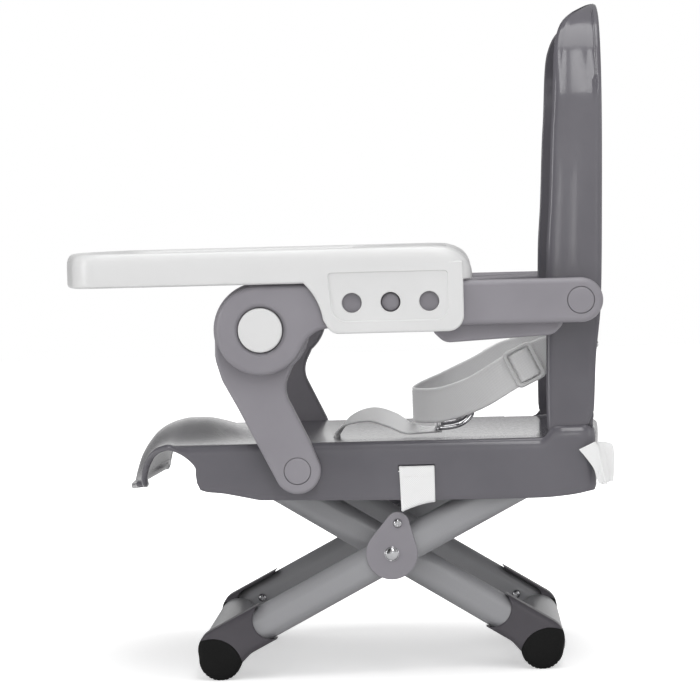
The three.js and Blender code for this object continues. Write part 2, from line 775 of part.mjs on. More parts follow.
// arms: an outer half with the knee disc, an inner half behind it, a pivot pin, a knee button
// on its spring and the domed catch for the tray
const kneeDiscRadius = 31;
const armEndRadius = 15.3;
const armSkin = 2.5;
const armBarDrop = 2.5;
const armInnerEndRadius = 14;
const armBoreRadius = 15.5;
const armPocketFront = -44;
const armPocketBack = 112;
const armPocketHeight = 11;
const capRadius = 9.2;
const capThickness = 2.4;
const capProud = 0.6;
const buttonRadius = 15.2;
const buttonProud = 2;
const buttonDepth = 9;
const buttonSkin = 2;
const buttonDome = 1;
const springRadius = 8;
const springWire = 1.5;
const catchRise = 1.8;
const catchPlace = [4.3, armPivot[1] + catchRise];
const catchRadius = 6.4;
const catchFlange = 8;
const catchProud = 1;
const catchDepth = 7;
const armInnerFront = 32;
const armInnerBack = 126;
const armInnerShares = [
  [0.01, 1, 0.1],
  [0, 0.2, 0.2],
  [0.09, 0, 0.25],
  [0.885, 0.09, 0.25],
  [1, 0.36, 0.15],
];
const armInnerDrop = 27.8;
const armInnerRise = 13;
const armInnerBottom = armPivot[1] - armInnerDrop;
const armInnerTop = armPivot[1] + armInnerRise;

function armOutline() {
  const lowAngle = Math.asin(-armBarDrop / kneeDiscRadius);
  return [
    ...arc(knee, kneeDiscRadius, Math.PI / 2, full + lowAngle),
    ...arc(armPivot, armEndRadius, -Math.PI / 2, Math.PI / 2),
  ];
}

function addArm(label, side) {
  const y = (value) => side * value;
  const boreFloor = armInner + armSkin;
  const pocketTop = armOuter - armSkin;
  const pocket = rectangle(
    [armPocketFront, armPivot[1] - armPocketHeight],
    [armPocketBack, armPivot[1] + armPocketHeight],
    armSkin,
  );
  const capSeat = armOuter - capThickness + capProud;
  const outer = sidePlate(armOutline(), y(armInner), y(armOuter))
    .subtract(sidePlate(pocket, y(armInner - overrun), y(pocketTop)))
    .subtract(rod(knee, armBoreRadius, y(boreFloor), y(armOuter + overrun)))
    .subtract(rod(catchPlace, catchRadius + clearance, y(pocketTop - overrun), y(armOuter + overrun)))
    .subtract(rod(armPivot, pivotShaftRadius + clearance, y(armInner - overrun), y(armOuter + overrun)))
    .subtract(rod(armPivot, capRadius + clearance, y(capSeat - clearance), y(armOuter + overrun)));
  add(`arm_outer_${label}`, outer, "arm");

  const innerEnd = armInner - clearance;
  const innerSize = [armInnerBack - armInnerFront, armInnerTop - armInnerBottom];
  const innerOutline = [
    ...rounded(placed(armInnerShares, [armInnerFront, armInnerBottom], innerSize)),
    ...arc(armPivot, armInnerEndRadius, -Math.PI / 3, Math.PI / 2),
  ];
  const innerPocket = rectangle(
    [armInnerFront + armSkin * 2, armInnerBottom + armSkin * 2],
    [armInnerBack - armSkin * 4, armInnerTop - armSkin * 2],
    armSkin,
  );
  const inner = sidePlate(innerOutline, y(strutInner), y(innerEnd))
    .subtract(sidePlate(innerPocket, y(strutInner + armSkin), y(innerEnd + overrun)))
    .subtract(rod(armPivot, pivotShaftRadius + clearance, y(strutInner - overrun), y(innerEnd + overrun)));
  add(`arm_inner_${label}`, inner, "arm");

  add(`arm_pivot_pin_${label}`, turned([
    [0, wingInner],
    [pivotShaftRadius, wingInner],
    [pivotShaftRadius, capSeat],
    [capRadius, capSeat],
    [capRadius, armOuter],
    [capRadius - capProud, armOuter + capProud],
    [0, armOuter + capProud],
  ], armPivot, side), "arm");

  const buttonTop = armOuter + buttonProud;
  const buttonFloor = buttonTop - buttonDepth;
  const springTop = buttonTop - buttonSkin - clearance;
  add(`knee_button_${label}`, turned([
    [springRadius + springWire, buttonFloor],
    [buttonRadius, buttonFloor],
    [buttonRadius, buttonTop - buttonDome],
    [buttonRadius - buttonDome, buttonTop],
    [0, buttonTop],
    [0, buttonTop - buttonSkin],
    [springRadius + springWire, buttonTop - buttonSkin],
    [springRadius + springWire, buttonFloor],
  ], knee, side), "white");
  add(`knee_spring_${label}`, turned([
    [springRadius - springWire, boreFloor + clearance],
    [springRadius, boreFloor + clearance],
    [springRadius, springTop],
    [springRadius - springWire, springTop],
    [springRadius - springWire, boreFloor + clearance],
  ], knee, side), "steel");

  const flangeTop = pocketTop - clearance;
  add(`tray_catch_${label}`, turned([
    [0, flangeTop - catchDepth / 2],
    [catchFlange, flangeTop - catchDepth / 2],
    [catchFlange, flangeTop],
    [catchRadius, flangeTop],
    [catchRadius, armOuter],
    [catchRadius * Math.cos(Math.PI / 6), armOuter + catchProud / 2],
    [catchRadius / 2, armOuter + catchProud * Math.cos(Math.PI / 6)],
    [0, armOuter + catchProud],
  ], catchPlace, side), "arm");
}

// struts: from the seat's side up to the knee, bent forward below the knee
const strutHeadRadius = 33;
const strutEndRadius = 16;
const strutLean = THREE.MathUtils.degToRad(27);
const strutNeck = [THREE.MathUtils.degToRad(-50), THREE.MathUtils.degToRad(192)];
const strutBackShares = [
  [0.4, 0.21],
  [-0.38, 0.58],
];
const strutFrontShares = [
  [-2.44, 0.8],
  [-2.25, 0.65],
  [-1.8, 0.46],
];

function strutOutline() {
  const size = [strutPivot[0] - knee[0], knee[1] - strutPivot[1]];
  return [
    ...arc(strutPivot, strutEndRadius, strutLean - Math.PI, strutLean),
    ...placed(strutBackShares, strutPivot, size),
    ...arc(knee, strutHeadRadius, ...strutNeck),
    ...placed(strutFrontShares, strutPivot, size),
  ];
}

function addStrut(label, side) {
  const y = (value) => side * value;
  const capSeat = strutOuter - capThickness + capProud;
  const strut = sidePlate(strutOutline(), y(strutInner), y(strutOuter))
    .subtract(rod(strutPivot, pivotShaftRadius + clearance, y(strutInner - overrun), y(strutOuter + overrun)))
    .subtract(rod(strutPivot, capRadius + clearance, y(capSeat - clearance), y(strutOuter + overrun)));
  add(`strut_${label}`, strut, "arm");
  add(`strut_pivot_pin_${label}`, turned([
    [0, skirtInner],
    [pivotShaftRadius, skirtInner],
    [pivotShaftRadius, capSeat],
    [capRadius, capSeat],
    [capRadius, strutOuter],
    [capRadius - capProud, strutOuter + capProud / 2],
    [0, strutOuter + capProud / 2],
  ], strutPivot, side), "arm");
}

for (const [label, side] of sides) {
  addArm(label, side);
  addStrut(label, side);
}

// tray: a hollow moulding with a raised rim, and a bracket outside each arm with three holes
const trayFront = -236;
const trayRear = 60.5;
const trayHeight = 23.6;
const trayBottom = knee[1] + kneeDiscRadius + runningGap;
const trayTop = trayBottom + trayHeight;
const trayBow = 19;
const trayCorner = 34;
const trayRimWidth = 11;
const trayRimDepth = 7;
const trayFloor = 3;
const bellyDepth = 78;
const traySideWidth = 40.3;
const bellyHalf = trayOuter - traySideWidth;
const bellySquareness = 0.8;
const traySteps = 12;
const bracketDrop = 35;
const bracketRear = 54.3;
const bracketHug = 44;
const holeRadius = 6.8;
const holePitch = 26.5;
const railRibWidth = 5;
const railRibFront = -48;
const railRibRear = 46;
const traySideShares = [
  [0, 0.02, 0.1],
  [0.03, 0, 0.3],
  [1, 0, 0.2],
  [1.0, 0.1, 0.2],
  [0.975, 0.66, 0.4],
  [0.93, 1, 0.4],
  [0.03, 1, 0.5],
  [0, 0.6, 0.5],
];

// the tray from above: a bowed front, straight sides and a bay for the child at the rear
function trayPlan(inset) {
  const half = trayOuter - inset;
  const straight = half - trayCorner;
  const frontEdge = Array.from({ length: traySteps + 1 }, (_, i) => {
    const y = straight * ((2 * i) / traySteps - 1);
    return [trayFront + inset + trayBow * (y / half) ** 2, y];
  });
  const cornerFront = trayFront + inset + trayBow;
  const rear = trayRear - inset;
  const bay = Array.from({ length: traySteps + 1 }, (_, i) => {
    const share = 1 - (2 * i) / traySteps;
    return [rear - bellyDepth * Math.cos((share * Math.PI) / 2) ** bellySquareness, share * (bellyHalf + inset)];
  });
  const side = rounded([
    frontEdge[traySteps],
    [cornerFront, half, trayCorner],
    [rear, half, trayCorner / 2],
    [rear, bellyHalf],
  ]).slice(1, -1);
  return [...frontEdge, ...side, ...bay, ...side.map(([x, y]) => [x, -y]).reverse()];
}

function tray() {
  const profile = rounded(placed(traySideShares, [trayFront, trayBottom], [trayRear - trayFront, trayHeight]));
  const low = trayBottom - bracketDrop;
  const body = sidePlate(profile, -trayOuter, trayOuter)
    .intersect(planPlate(trayPlan(0), low, trayTop + overrun));
  const floorTop = trayTop - trayRimDepth;
  let shell = body
    .subtract(planPlate(trayPlan(trayRimWidth), floorTop, trayTop + overrun))
    .subtract(planPlate(trayPlan(trayWall), low, floorTop - trayFloor));
  const hug = Math.asin((trayBottom - knee[1]) / bracketHug);
  const hugStart = [knee[0] + bracketHug * Math.cos(hug), trayBottom + trayHeight / 2];
  const bracket = rounded([
    hugStart,
    ...arc(knee, bracketHug, hug, 0),
    [knee[0] + bracketHug, low, trayCorner / 4],
    [bracketRear, low, trayCorner / 3],
    [bracketRear, trayBottom + trayHeight / 2],
  ]);
  for (const [, side] of sides) {
    shell = shell.add(sidePlate(bracket, side * trayInner, side * trayOuter));
    const ribMiddle = (armInner + armOuter) / 2;
    const ribLow = [railRibFront, armPivot[1] + armEndRadius + clearance];
    const rib = sidePlate(
      rectangle(ribLow, [railRibRear, floorTop - trayFloor / 2]),
      side * (ribMiddle - railRibWidth / 2),
      side * (ribMiddle + railRibWidth / 2),
    );
    shell = shell.add(rib);
    for (const step of [-1, 0, 1]) {
      const hole = [catchPlace[0] + step * holePitch, catchPlace[1]];
      shell = shell.subtract(rod(hole, holeRadius, side * (trayInner - overrun), side * (trayOuter + overrun)));
    }
  }
  return shell;
}
add("tray", tray(), "white");

// harness and tie-down straps
const crotchLength = 77;
const crotchHeight = 22.5;
const crotchShares = [
  [0, 0],
  [0.013, 0.31],
  [0.156, 0.76],
  [0.338, 1],
  [0.52, 0.8],
  [0.66, 0.4],
  [0.844, 0.285],
  [1, 0.285],
];
const crotchDrop = 8;
const crotchStart = seatRimHeight - crotchDrop;
const ringLength = 27;
const ringWidth = 34;
const ringWire = 3.2;
const ringTilt = THREE.MathUtils.degToRad(18);
const beltHeight = 25;
const beltLength = 115;
const beltBack = 131;
const beltDrop = 40.5;
const beltShares = [
  [1, 1, 1],
  [0.835, 1, 0.926],
  [0.713, 1, 0.778],
  [0.591, 0.995, 0.605],
  [0.4, 0.857, 0.284],
  [0.2, 0.612, 0.074],
  [0.052, 0.306, 0.012],
  [0, 0, 0],
];
const adjusterShare = 0.715;
const adjusterDropShare = 0.27;
const adjusterSize = [26, 29];
const adjusterThickness = 3;
const adjusterTilt = THREE.MathUtils.degToRad(26);
const strapStack = 4.5;
const rearStrapFront = 133.5;
const rearStrapDrop = 38.5;
const rearStrapSize = [27, 31.7];
const rearStrapShares = [
  [0, 0.817],
  [0.444, 1],
  [0.574, 0.95],
  [0.889, 0.912],
  [1, 0.804],
  [0.981, 0.237],
  [0.87, 0],
  [0.574, 0.016],
  [0.463, 0.268],
  [0.333, 0.473],
];
const crotchPath = placed(crotchShares, [crotchSlotPlace, crotchStart], [crotchLength, crotchHeight]);
const beltPath = beltShares.map(([a, b, c]) => new THREE.Vector3(
  beltBack - (1 - a) * beltLength,
  b * beltSlotPlace,
  beltSlotHeight - (1 - c) * beltDrop,
));

add("crotch_strap", sidePlate(ribbon(crotchPath, webbingThickness), -webbingWidth / 2, webbingWidth / 2), "webbing");

function crotchRing() {
  const end = crotchPath[crotchPath.length - 1];
  const seat = [end[0] - ringWire, end[1] + webbingThickness / 2 + clearance];
  const reach = [ringLength / 2, ringWidth / 2];
  const outer = rectangle([-reach[0], -reach[1]], reach, ringWire);
  const inner = rectangle([ringWire - reach[0], ringWire - reach[1]], [reach[0] - ringWire, reach[1] - ringWire], ringWire / 2);
  const geometry = extruded(outer, ringWire, [inner.reverse()]);
  geometry.translate(reach[0], 0, 0);
  geometry.rotateY(-ringTilt);
  geometry.translate(seat[0], 0, seat[1]);
  return solid(geometry);
}
add("crotch_ring", crotchRing(), "steel");

// one belt round the child's waist, from a slot in the panel on one side to the other
function waistBelt() {
  const mirrored = beltPath.slice(0, -1).reverse().map((p) => new THREE.Vector3(p.x, -p.y, p.z));
  const curve = new THREE.CatmullRomCurve3([...beltPath, ...mirrored]);
  const steps = 44;
  const rings = [];
  for (let i = 0; i <= steps; i += 1) {
    const point = curve.getPoint(i / steps);
    const tangent = curve.getTangent(i / steps);
    const out = new THREE.Vector3(tangent.y, -tangent.x, 0).normalize().multiplyScalar(webbingThickness / 2);
    const up = new THREE.Vector3(0, 0, beltHeight / 2);
    rings.push([[1, 1], [1, -1], [-1, -1], [-1, 1]].map(([a, b]) => point.clone().addScaledVector(out, a).addScaledVector(up, b)));
  }
  return loft(rings);
}
add("waist_belt", waistBelt(), "webbing");

for (const [label, side] of sides) {
  const adjusterFace = beltSlotPlace + webbingThickness / 2 + 2 * clearance;
  const adjusterPlace = [
    beltBack - (1 - adjusterShare) * beltLength,
    beltSlotHeight - adjusterDropShare * beltDrop,
  ];
  const [length, height] = adjusterSize;
  const turn = (point) => new THREE.Vector2(...point).rotateAround(new THREE.Vector2(), adjusterTilt).toArray();
  const plate = rectangle([-length / 2, -height / 2], [length / 2, height / 2], adjusterThickness);
  const outline = plate.map(turn).map(([x, z]) => [x + adjusterPlace[0], z + adjusterPlace[1]]);
  add(`belt_adjuster_${label}`, sidePlate(outline, side * adjusterFace, side * (adjusterFace + adjusterThickness)), "white");

  const strapFace = seatHalfWidth + clearance;
  const strapOuter = strapFace + webbingThickness;
  const fold = skirtBottom - clearance;
  const section = [
    [strapFace, sideSlotHeight + slotWidth / 2],
    [strapFace, fold],
    [skirtInner, fold],
    [skirtInner, fold - webbingThickness],
    [strapOuter, fold - webbingThickness],
    [strapOuter, sideSlotHeight + slotWidth / 2],
  ].map(([a, b]) => [side * a, b]);
  add(`side_strap_${label}`, frontPlate(section, sideStrapFront, sideStrapFront + webbingWidth), "webbing");
  add(`rear_strap_${label}`, sidePlate(
    placed(rearStrapShares, [rearStrapFront, seatRimHeight - rearStrapDrop], rearStrapSize),
    side * strapFace,
    side * (strapFace + strapStack),
  ), "webbing");
}

// the origin is on the floor under the middle of the object
const extent = new THREE.Box3().setFromObject(chair);
chair.position.set(-(extent.min.x + extent.max.x) / 2, 0, -extent.min.z);

export default chair;
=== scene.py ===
# %% [markdown]
# A child's folding booster seat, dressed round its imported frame.
#
# The frame gives every pivot and every box in metres, so nothing here is fitted by eye.
# Each piece is placed from those pivots, made as its own mesh, and rides on the body that
# carries it. The left side is at negative Y, which is the side that faces the camera.

# %% Load the frame
import json
import math

import bmesh
import bpy
from mathutils import Matrix, Vector
from mathutils.geometry import tessellate_polygon


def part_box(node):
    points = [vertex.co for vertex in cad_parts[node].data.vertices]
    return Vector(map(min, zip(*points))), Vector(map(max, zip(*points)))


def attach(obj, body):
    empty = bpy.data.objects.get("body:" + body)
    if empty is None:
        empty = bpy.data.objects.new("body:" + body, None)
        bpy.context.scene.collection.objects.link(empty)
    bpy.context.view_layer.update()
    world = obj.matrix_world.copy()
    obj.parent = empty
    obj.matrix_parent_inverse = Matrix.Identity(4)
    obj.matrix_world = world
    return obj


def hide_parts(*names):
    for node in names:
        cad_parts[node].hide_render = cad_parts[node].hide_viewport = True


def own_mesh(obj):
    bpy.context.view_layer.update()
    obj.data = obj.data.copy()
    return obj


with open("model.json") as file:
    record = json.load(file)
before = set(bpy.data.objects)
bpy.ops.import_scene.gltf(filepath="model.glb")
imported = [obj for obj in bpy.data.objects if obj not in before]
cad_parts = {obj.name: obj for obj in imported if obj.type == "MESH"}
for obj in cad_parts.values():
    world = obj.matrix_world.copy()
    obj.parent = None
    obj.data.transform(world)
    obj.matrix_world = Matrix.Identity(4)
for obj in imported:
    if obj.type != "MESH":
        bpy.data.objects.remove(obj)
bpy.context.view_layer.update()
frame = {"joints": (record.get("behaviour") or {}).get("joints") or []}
MM = 0.001
SIDES = (("left", -1), ("right", 1))
pivots = {joint["name"]: Vector(joint["pos_m"]) for joint in frame["joints"] if "pos_m" in joint}
print("pivots", sorted(pivots))

# %% [markdown]
# Places that many pieces share.
#
# A side view point is a 2D vector of X and Z. The layers across the seat are read from the
# frame's boxes, so the skirt, struts, arms and tray stay in the order that the frame gives.

# %% Shared places
def flat(point):
    return Vector((point.x, point.z))


def middle(node):
    low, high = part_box(node)
    return (low + high) / 2


BACK_HINGE = flat(pivots["back_fold"])
HUB = flat(pivots["leg_cross"])
STRUT_PIVOT = flat(pivots["strut_fold_left"])
ARM_PIVOT = flat(pivots["arm_fold_left"])
KNEE = flat(middle("knee_button_left"))
CATCH = flat(middle("tray_catch_left"))
LEG_PIVOT = flat(pivots["leg_fold"])
SLIDER = flat(middle("slider_pin_left"))
SEAT_LOW, SEAT_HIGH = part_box("seat_shell")
STRUT_IN, STRUT_OUT = (corner.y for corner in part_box("strut_right"))
ARM_IN, ARM_OUT = (corner.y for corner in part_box("arm_outer_right"))
TRAY_LOW, TRAY_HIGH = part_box("tray")


def added_object(name, data):
    """An object in the scene that holds a mesh, a light or the camera."""
    made = bpy.data.objects.new(name, data)
    bpy.context.scene.collection.objects.link(made)
    return made


print("layers across", [round(y / MM, 1) for y in (STRUT_IN, STRUT_OUT, ARM_IN, ARM_OUT, TRAY_HIGH.y)])

# %% [markdown]
# The camera.
#
# The photograph was taken from far away with a long lens, a little above the tray and
# level with it. The camera stands off the left side, turned a little left and down to the
# middle of the picture, and it was held about a degree and a half out of level.

# %% Camera
LENS = 181.5
SENSOR = 36
camera_place = Vector((90.45, -2587, 316.4)) * MM
camera_left = math.radians(1.827)
camera_down = math.radians(2.047)
camera_roll = math.radians(-1.475)

camera_data = bpy.data.cameras.new("camera")
camera_data.lens = LENS
camera_data.sensor_width = SENSOR
camera_data.clip_start, camera_data.clip_end = 0.1, 50
camera = added_object("camera", camera_data)
aim = Vector((-math.sin(camera_left), math.cos(camera_left) * math.cos(camera_down), -math.sin(camera_down)))
camera.rotation_mode = "QUATERNION"
turned = aim.to_track_quat("-Z", "Y").to_matrix() @ Matrix.Rotation(camera_roll, 3, "Z")
camera.rotation_quaternion = turned.to_quaternion()
camera.location = camera_place
bpy.context.scene.camera = camera
print("camera aims along", [round(a, 4) for a in aim])

# %% [markdown]
# The studio.
#
# A pale floor takes the soft shadow. Most of the light is an even surround. A tall soft box
# stands high in front, where only the backrest's shoulders, the rims and the tube tops
# mirror it, so that the flat glossy wings stay dark. Two slim strips give the wing its thin
# upright highlights. The camera and mirror rays see a white surround that darkens only
# towards the ceiling and the left in a mirror, while the light on the object stays plain.

# %% Studio: shader nodes
WHITE = (1, 1, 1, 1)


def nodes_of(material):
    material.use_nodes = True
    tree = material.node_tree
    tree.nodes.clear()
    return tree


def add_node(tree, kind, values=(), **settings):
    """A shader node with its settings, and the values of inputs that nothing drives."""
    made = tree.nodes.new("ShaderNode" + kind)
    for name, value in settings.items():
        setattr(made, name, value)
    for socket, value in dict(values).items():
        made.inputs[socket].default_value = value
    return made


def eased(tree, start, end, low, high):
    """A value that is low up to start, high from end on, and goes over smoothly."""
    values = {"From Min": start, "From Max": end, "To Min": low, "To Max": high}
    return add_node(tree, "MapRange", values, interpolation_type="SMOOTHSTEP")


def connect(tree, *pairs):
    """Links sources to targets. A node by itself stands for its first output or input."""
    for source, target in pairs:
        source = getattr(source, "outputs", [source])[0]
        target = getattr(target, "inputs", [target])[0]
        tree.links.new(source, target)


def seen_white(tree):
    """1 where a camera, mirror or clear-material ray arrives, 0 where light is gathered."""
    path = add_node(tree, "LightPath")
    first = add_node(tree, "Math", operation="MAXIMUM")
    second = add_node(tree, "Math", operation="MAXIMUM")
    connect(
        tree,
        (path.outputs["Is Camera Ray"], first),
        (path.outputs["Is Transmission Ray"], first.inputs[1]),
        (first, second),
    )
    return path, second


# %% Studio: the surround
WORLD_LIGHT = 0.52
CEILING_LIGHT = 0.3
LEFT_LIGHT = 0.2
ceiling_band = (0.07, 0.34)
left_band = (-0.28, -0.1)
world = bpy.data.worlds.new("studio")
bpy.context.scene.world = world
tree = nodes_of(world)
path, seen = seen_white(tree)
plain = add_node(tree, "Background", {"Color": WHITE, "Strength": WORLD_LIGHT})
white = add_node(tree, "Background", {"Color": WHITE})
mixed = add_node(tree, "MixShader")
out = add_node(tree, "OutputWorld")
direction = add_node(tree, "TexCoord")
height = add_node(tree, "SeparateXYZ")
ceiling = eased(tree, *ceiling_band, 1.0, CEILING_LIGHT)
left = eased(tree, *left_band, LEFT_LIGHT, 1.0)
both = add_node(tree, "Math", operation="MULTIPLY")
brightness = add_node(tree, "Math", operation="MAXIMUM")
connect(
    tree,
    (direction.outputs["Generated"], height),
    (height.outputs["Z"], ceiling.inputs["Value"]),
    (height.outputs["X"], left.inputs["Value"]),
    (ceiling, both),
    (left, both.inputs[1]),
    (both, brightness),
    (path.outputs["Is Camera Ray"], brightness.inputs[1]),
    (brightness, white.inputs["Strength"]),
    (path.outputs["Is Glossy Ray"], seen.inputs[1]),
    (seen, mixed),
    (plain, mixed.inputs[1]),
    (white, mixed.inputs[2]),
    (mixed, out),
)
bpy.context.scene.view_settings.view_transform = "Standard"
print("surround", WORLD_LIGHT, "ceiling", CEILING_LIGHT)

# %% Studio: the floor
FLOOR_TONE = 0.82
floor_half = 6
glow_start, glow_end = 0.12, 0.5
glow_near = 0.46


def studio_floor():
    """A pale floor that shows white to the camera where it is lit, and keeps the shadow."""
    material = bpy.data.materials.new("studio_floor")
    tree = nodes_of(material)
    path, seen = seen_white(tree)
    matt = add_node(tree, "BsdfDiffuse", {"Color": (FLOOR_TONE, FLOOR_TONE, FLOOR_TONE, 1)})
    glow = add_node(tree, "Emission", {"Color": WHITE})
    lift = add_node(tree, "Math", operation="MULTIPLY")
    both = add_node(tree, "AddShader")
    out = add_node(tree, "OutputMaterial")
    place = add_node(tree, "TexCoord")
    distance = add_node(tree, "VectorMath", operation="LENGTH")
    far = eased(tree, glow_start, glow_end, glow_near, 1.0)
    connect(
        tree,
        (path.outputs["Is Camera Ray"], seen.inputs[1]),
        (place.outputs["Object"], distance),
        (distance.outputs["Value"], far),
        (far, lift.inputs[1]),
        (seen, lift),
        (lift, glow.inputs["Strength"]),
        (matt, both),
        (glow, both.inputs[1]),
        (both, out),
    )
    mesh = bpy.data.meshes.new("floor")
    corners = [(a * floor_half, b * floor_half, 0) for a, b in ((-1, -1), (1, -1), (1, 1), (-1, 1))]
    mesh.from_pydata(corners, [], [(0, 1, 2, 3)])
    mesh.materials.append(material)
    added_object("floor", mesh)


studio_floor()
print("floor", 2 * floor_half, "m wide")


# %% Studio: the lamps
def area_light(name, place, target, size, power, mirrored=True):
    data = bpy.data.lights.new(name, "AREA")
    data.shape = "RECTANGLE"
    data.size, data.size_y = size
    data.energy = power
    lamp = added_object(name, data)
    lamp.location = place
    lamp.rotation_mode = "QUATERNION"
    lamp.rotation_quaternion = (Vector(target) - Vector(place)).to_track_quat("-Z", "Y")
    lamp.visible_camera = False
    lamp.visible_glossy = mirrored


area_light("overhead", (0.1, -0.2, 2.2), (0.1, 0, 0.2), (1.2, 1.15), 14)
area_light("soft_box", (0.31, -1.75, 1.75), (0.1, -0.1, 0.38), (0.42, 2.1), 15)
area_light("fill", (0.3, -2.8, 0.6), (0, 0, 0.25), (2.2, 1.4), 4, mirrored=False)
area_light("left", (-2.0, -0.95, 0.6), (0.1, -0.1, 0.3), (0.5, 1.5), 12)
area_light("right", (1.9, -1.2, 0.9), (0, 0, 0.25), (0.35, 1.5), 3)
area_light("behind", (0.3, 2.2, 1.4), (0, 0, 0.25), (1.8, 1.0), 5, mirrored=False)
area_light("wide_strip", (0.225, -2.0, 0.32), (0.16, 0, 0.32), (0.045, 0.11), 0.09)
area_light("thin_strip", (0.185, -2.0, 0.315), (0.16, 0, 0.315), (0.02, 0.1), 0.02)
print("lamps placed")

# %% [markdown]
# Finishes.
#
# The chair is moulded plastic in three greys and white, painted tube, rubber, chromed steel
# and white webbing. Each finish is one Principled shader. Noise changes its colour and
# roughness a little, and a fine bump gives the grain that the moulding tool leaves.

# %% Finish helpers
finishes = {}
NOISE_LOW, NOISE_HIGH = 0.3, 0.7


def linear(hex_colour):
    """The linear colour of a written sRGB colour such as 8d8a90."""
    parts = [int(hex_colour[i:i + 2], 16) / 255 for i in (0, 2, 4)]
    return tuple(p / 12.92 if p <= 0.04045 else ((p + 0.055) / 1.055) ** 2.4 for p in parts) + (1,)


def start_finish(name, roughness, metallic=0.0, coat=0.0, coat_roughness=0.05, specular=0.5):
    material = bpy.data.materials.new(name)
    tree = nodes_of(material)
    values = {"Roughness": roughness, "Metallic": metallic, "Specular IOR Level": specular}
    values.update({"Coat Weight": coat, "Coat Roughness": coat_roughness})
    shader = add_node(tree, "BsdfPrincipled", values)
    out = add_node(tree, "OutputMaterial")
    connect(tree, (shader, out))
    finishes[name] = material
    return tree, shader


def object_noise(tree, scale, detail=3.0):
    place = add_node(tree, "TexCoord")
    noise = add_node(tree, "TexNoise", {"Scale": scale, "Detail": detail})
    connect(tree, (place.outputs["Object"], noise.inputs["Vector"]))
    return noise


def between(tree, driver, low, high, socket):
    """Drives a socket from low to high by a noise."""
    values = {"From Min": NOISE_LOW, "From Max": NOISE_HIGH, "To Min": low, "To Max": high}
    mapped = add_node(tree, "MapRange", values)
    connect(tree, (driver, mapped), (mapped, socket))


def two_tones(tree, driver, dark, light, socket):
    ramp = add_node(tree, "ValToRGB")
    places = (NOISE_LOW, NOISE_HIGH)
    for element, place, tone in zip(ramp.color_ramp.elements, places, (dark, light)):
        element.position = place
        element.color = linear(tone)
    connect(tree, (driver, ramp), (ramp, socket))


def grain(tree, shader, layers):
    """Stacked bumps, each a height, its strength and its depth in metres."""
    normal = None
    for height, strength, distance in layers:
        bump = add_node(tree, "Bump", {"Strength": strength, "Distance": distance})
        connect(tree, (height, bump.inputs["Height"]))
        if normal:
            connect(tree, (normal, bump.inputs["Normal"]))
        normal = bump
    connect(tree, (normal, shader.inputs["Normal"]))


def moulded(name, dark, light, roughness, grain_scale, grain_strength, wave_strength, coat=0.0, specular=0.5):
    """Moulded plastic: a slow waviness from shrinkage, and the tool's fine grain."""
    tree, shader = start_finish(name, sum(roughness) / 2, coat=coat, specular=specular)
    slow = object_noise(tree, 26)
    fine = object_noise(tree, grain_scale, 4)
    two_tones(tree, slow, dark, light, shader.inputs["Base Color"])
    between(tree, fine, roughness[0], roughness[1], shader.inputs["Roughness"])
    grain(tree, shader, [(slow, wave_strength, 0.4 * MM), (fine, grain_strength, 0.06 * MM)])


# %% Plastic and rubber
moulded("seat_plastic", "5f5d63", "656369", (0.16, 0.24), 420, 0.1, 0.02, coat=0.2, specular=0.4)
moulded("arm_plastic", "88858b", "8f8c92", (0.38, 0.48), 1500, 0.3, 0.03)
moulded("shoe_plastic", "4a474c", "524f54", (0.36, 0.46), 1300, 0.3, 0.04, specular=0.35)
moulded("white_plastic", "d9d9d9", "dddddd", (0.28, 0.36), 1200, 0.2, 0.015)
moulded("black_rubber", "101010", "161616", (0.62, 0.74), 900, 0.5, 0.05, specular=0.2)
print("plastics", sorted(finishes))


# %% Painted tube and chrome
def painted_tube():
    """Powder coat over steel: a low gloss paint with a fine orange peel and metal flake."""
    tree, shader = start_finish("painted_tube", 0.36, metallic=0.15, coat=0.2, coat_roughness=0.2)
    peel = object_noise(tree, 700, 2)
    flake = object_noise(tree, 5200, 1)
    two_tones(tree, flake, "939396", "9f9fa2", shader.inputs["Base Color"])
    between(tree, peel, 0.3, 0.42, shader.inputs["Roughness"])
    grain(tree, shader, [(peel, 0.25, 0.08 * MM)])


def chrome_steel():
    """Bright plated steel with a faint brushed haze."""
    tree, shader = start_finish("chrome_steel", 0.14, metallic=1.0)
    haze = object_noise(tree, 900, 4)
    two_tones(tree, haze, "c0c0c2", "cbcbcd", shader.inputs["Base Color"])
    between(tree, haze, 0.08, 0.2, shader.inputs["Roughness"])
    grain(tree, shader, [(haze, 0.02, 0.03 * MM)])


painted_tube()
chrome_steel()
print(len(finishes), "finishes")

# %% [markdown]
# Webbing.
#
# The straps are flat woven polyester. A strap's mesh carries an attribute that holds the
# distance along it and across it in metres, so the weave runs with the strap round every
# bend. Two sine waves make the over and under of the yarns, which no texture image could
# follow as well. The same waves also darken the colour where the yarns dip, as painted
# shade in the weave's hollows.

# %% Webbing finish
YARN = 1.3 * MM


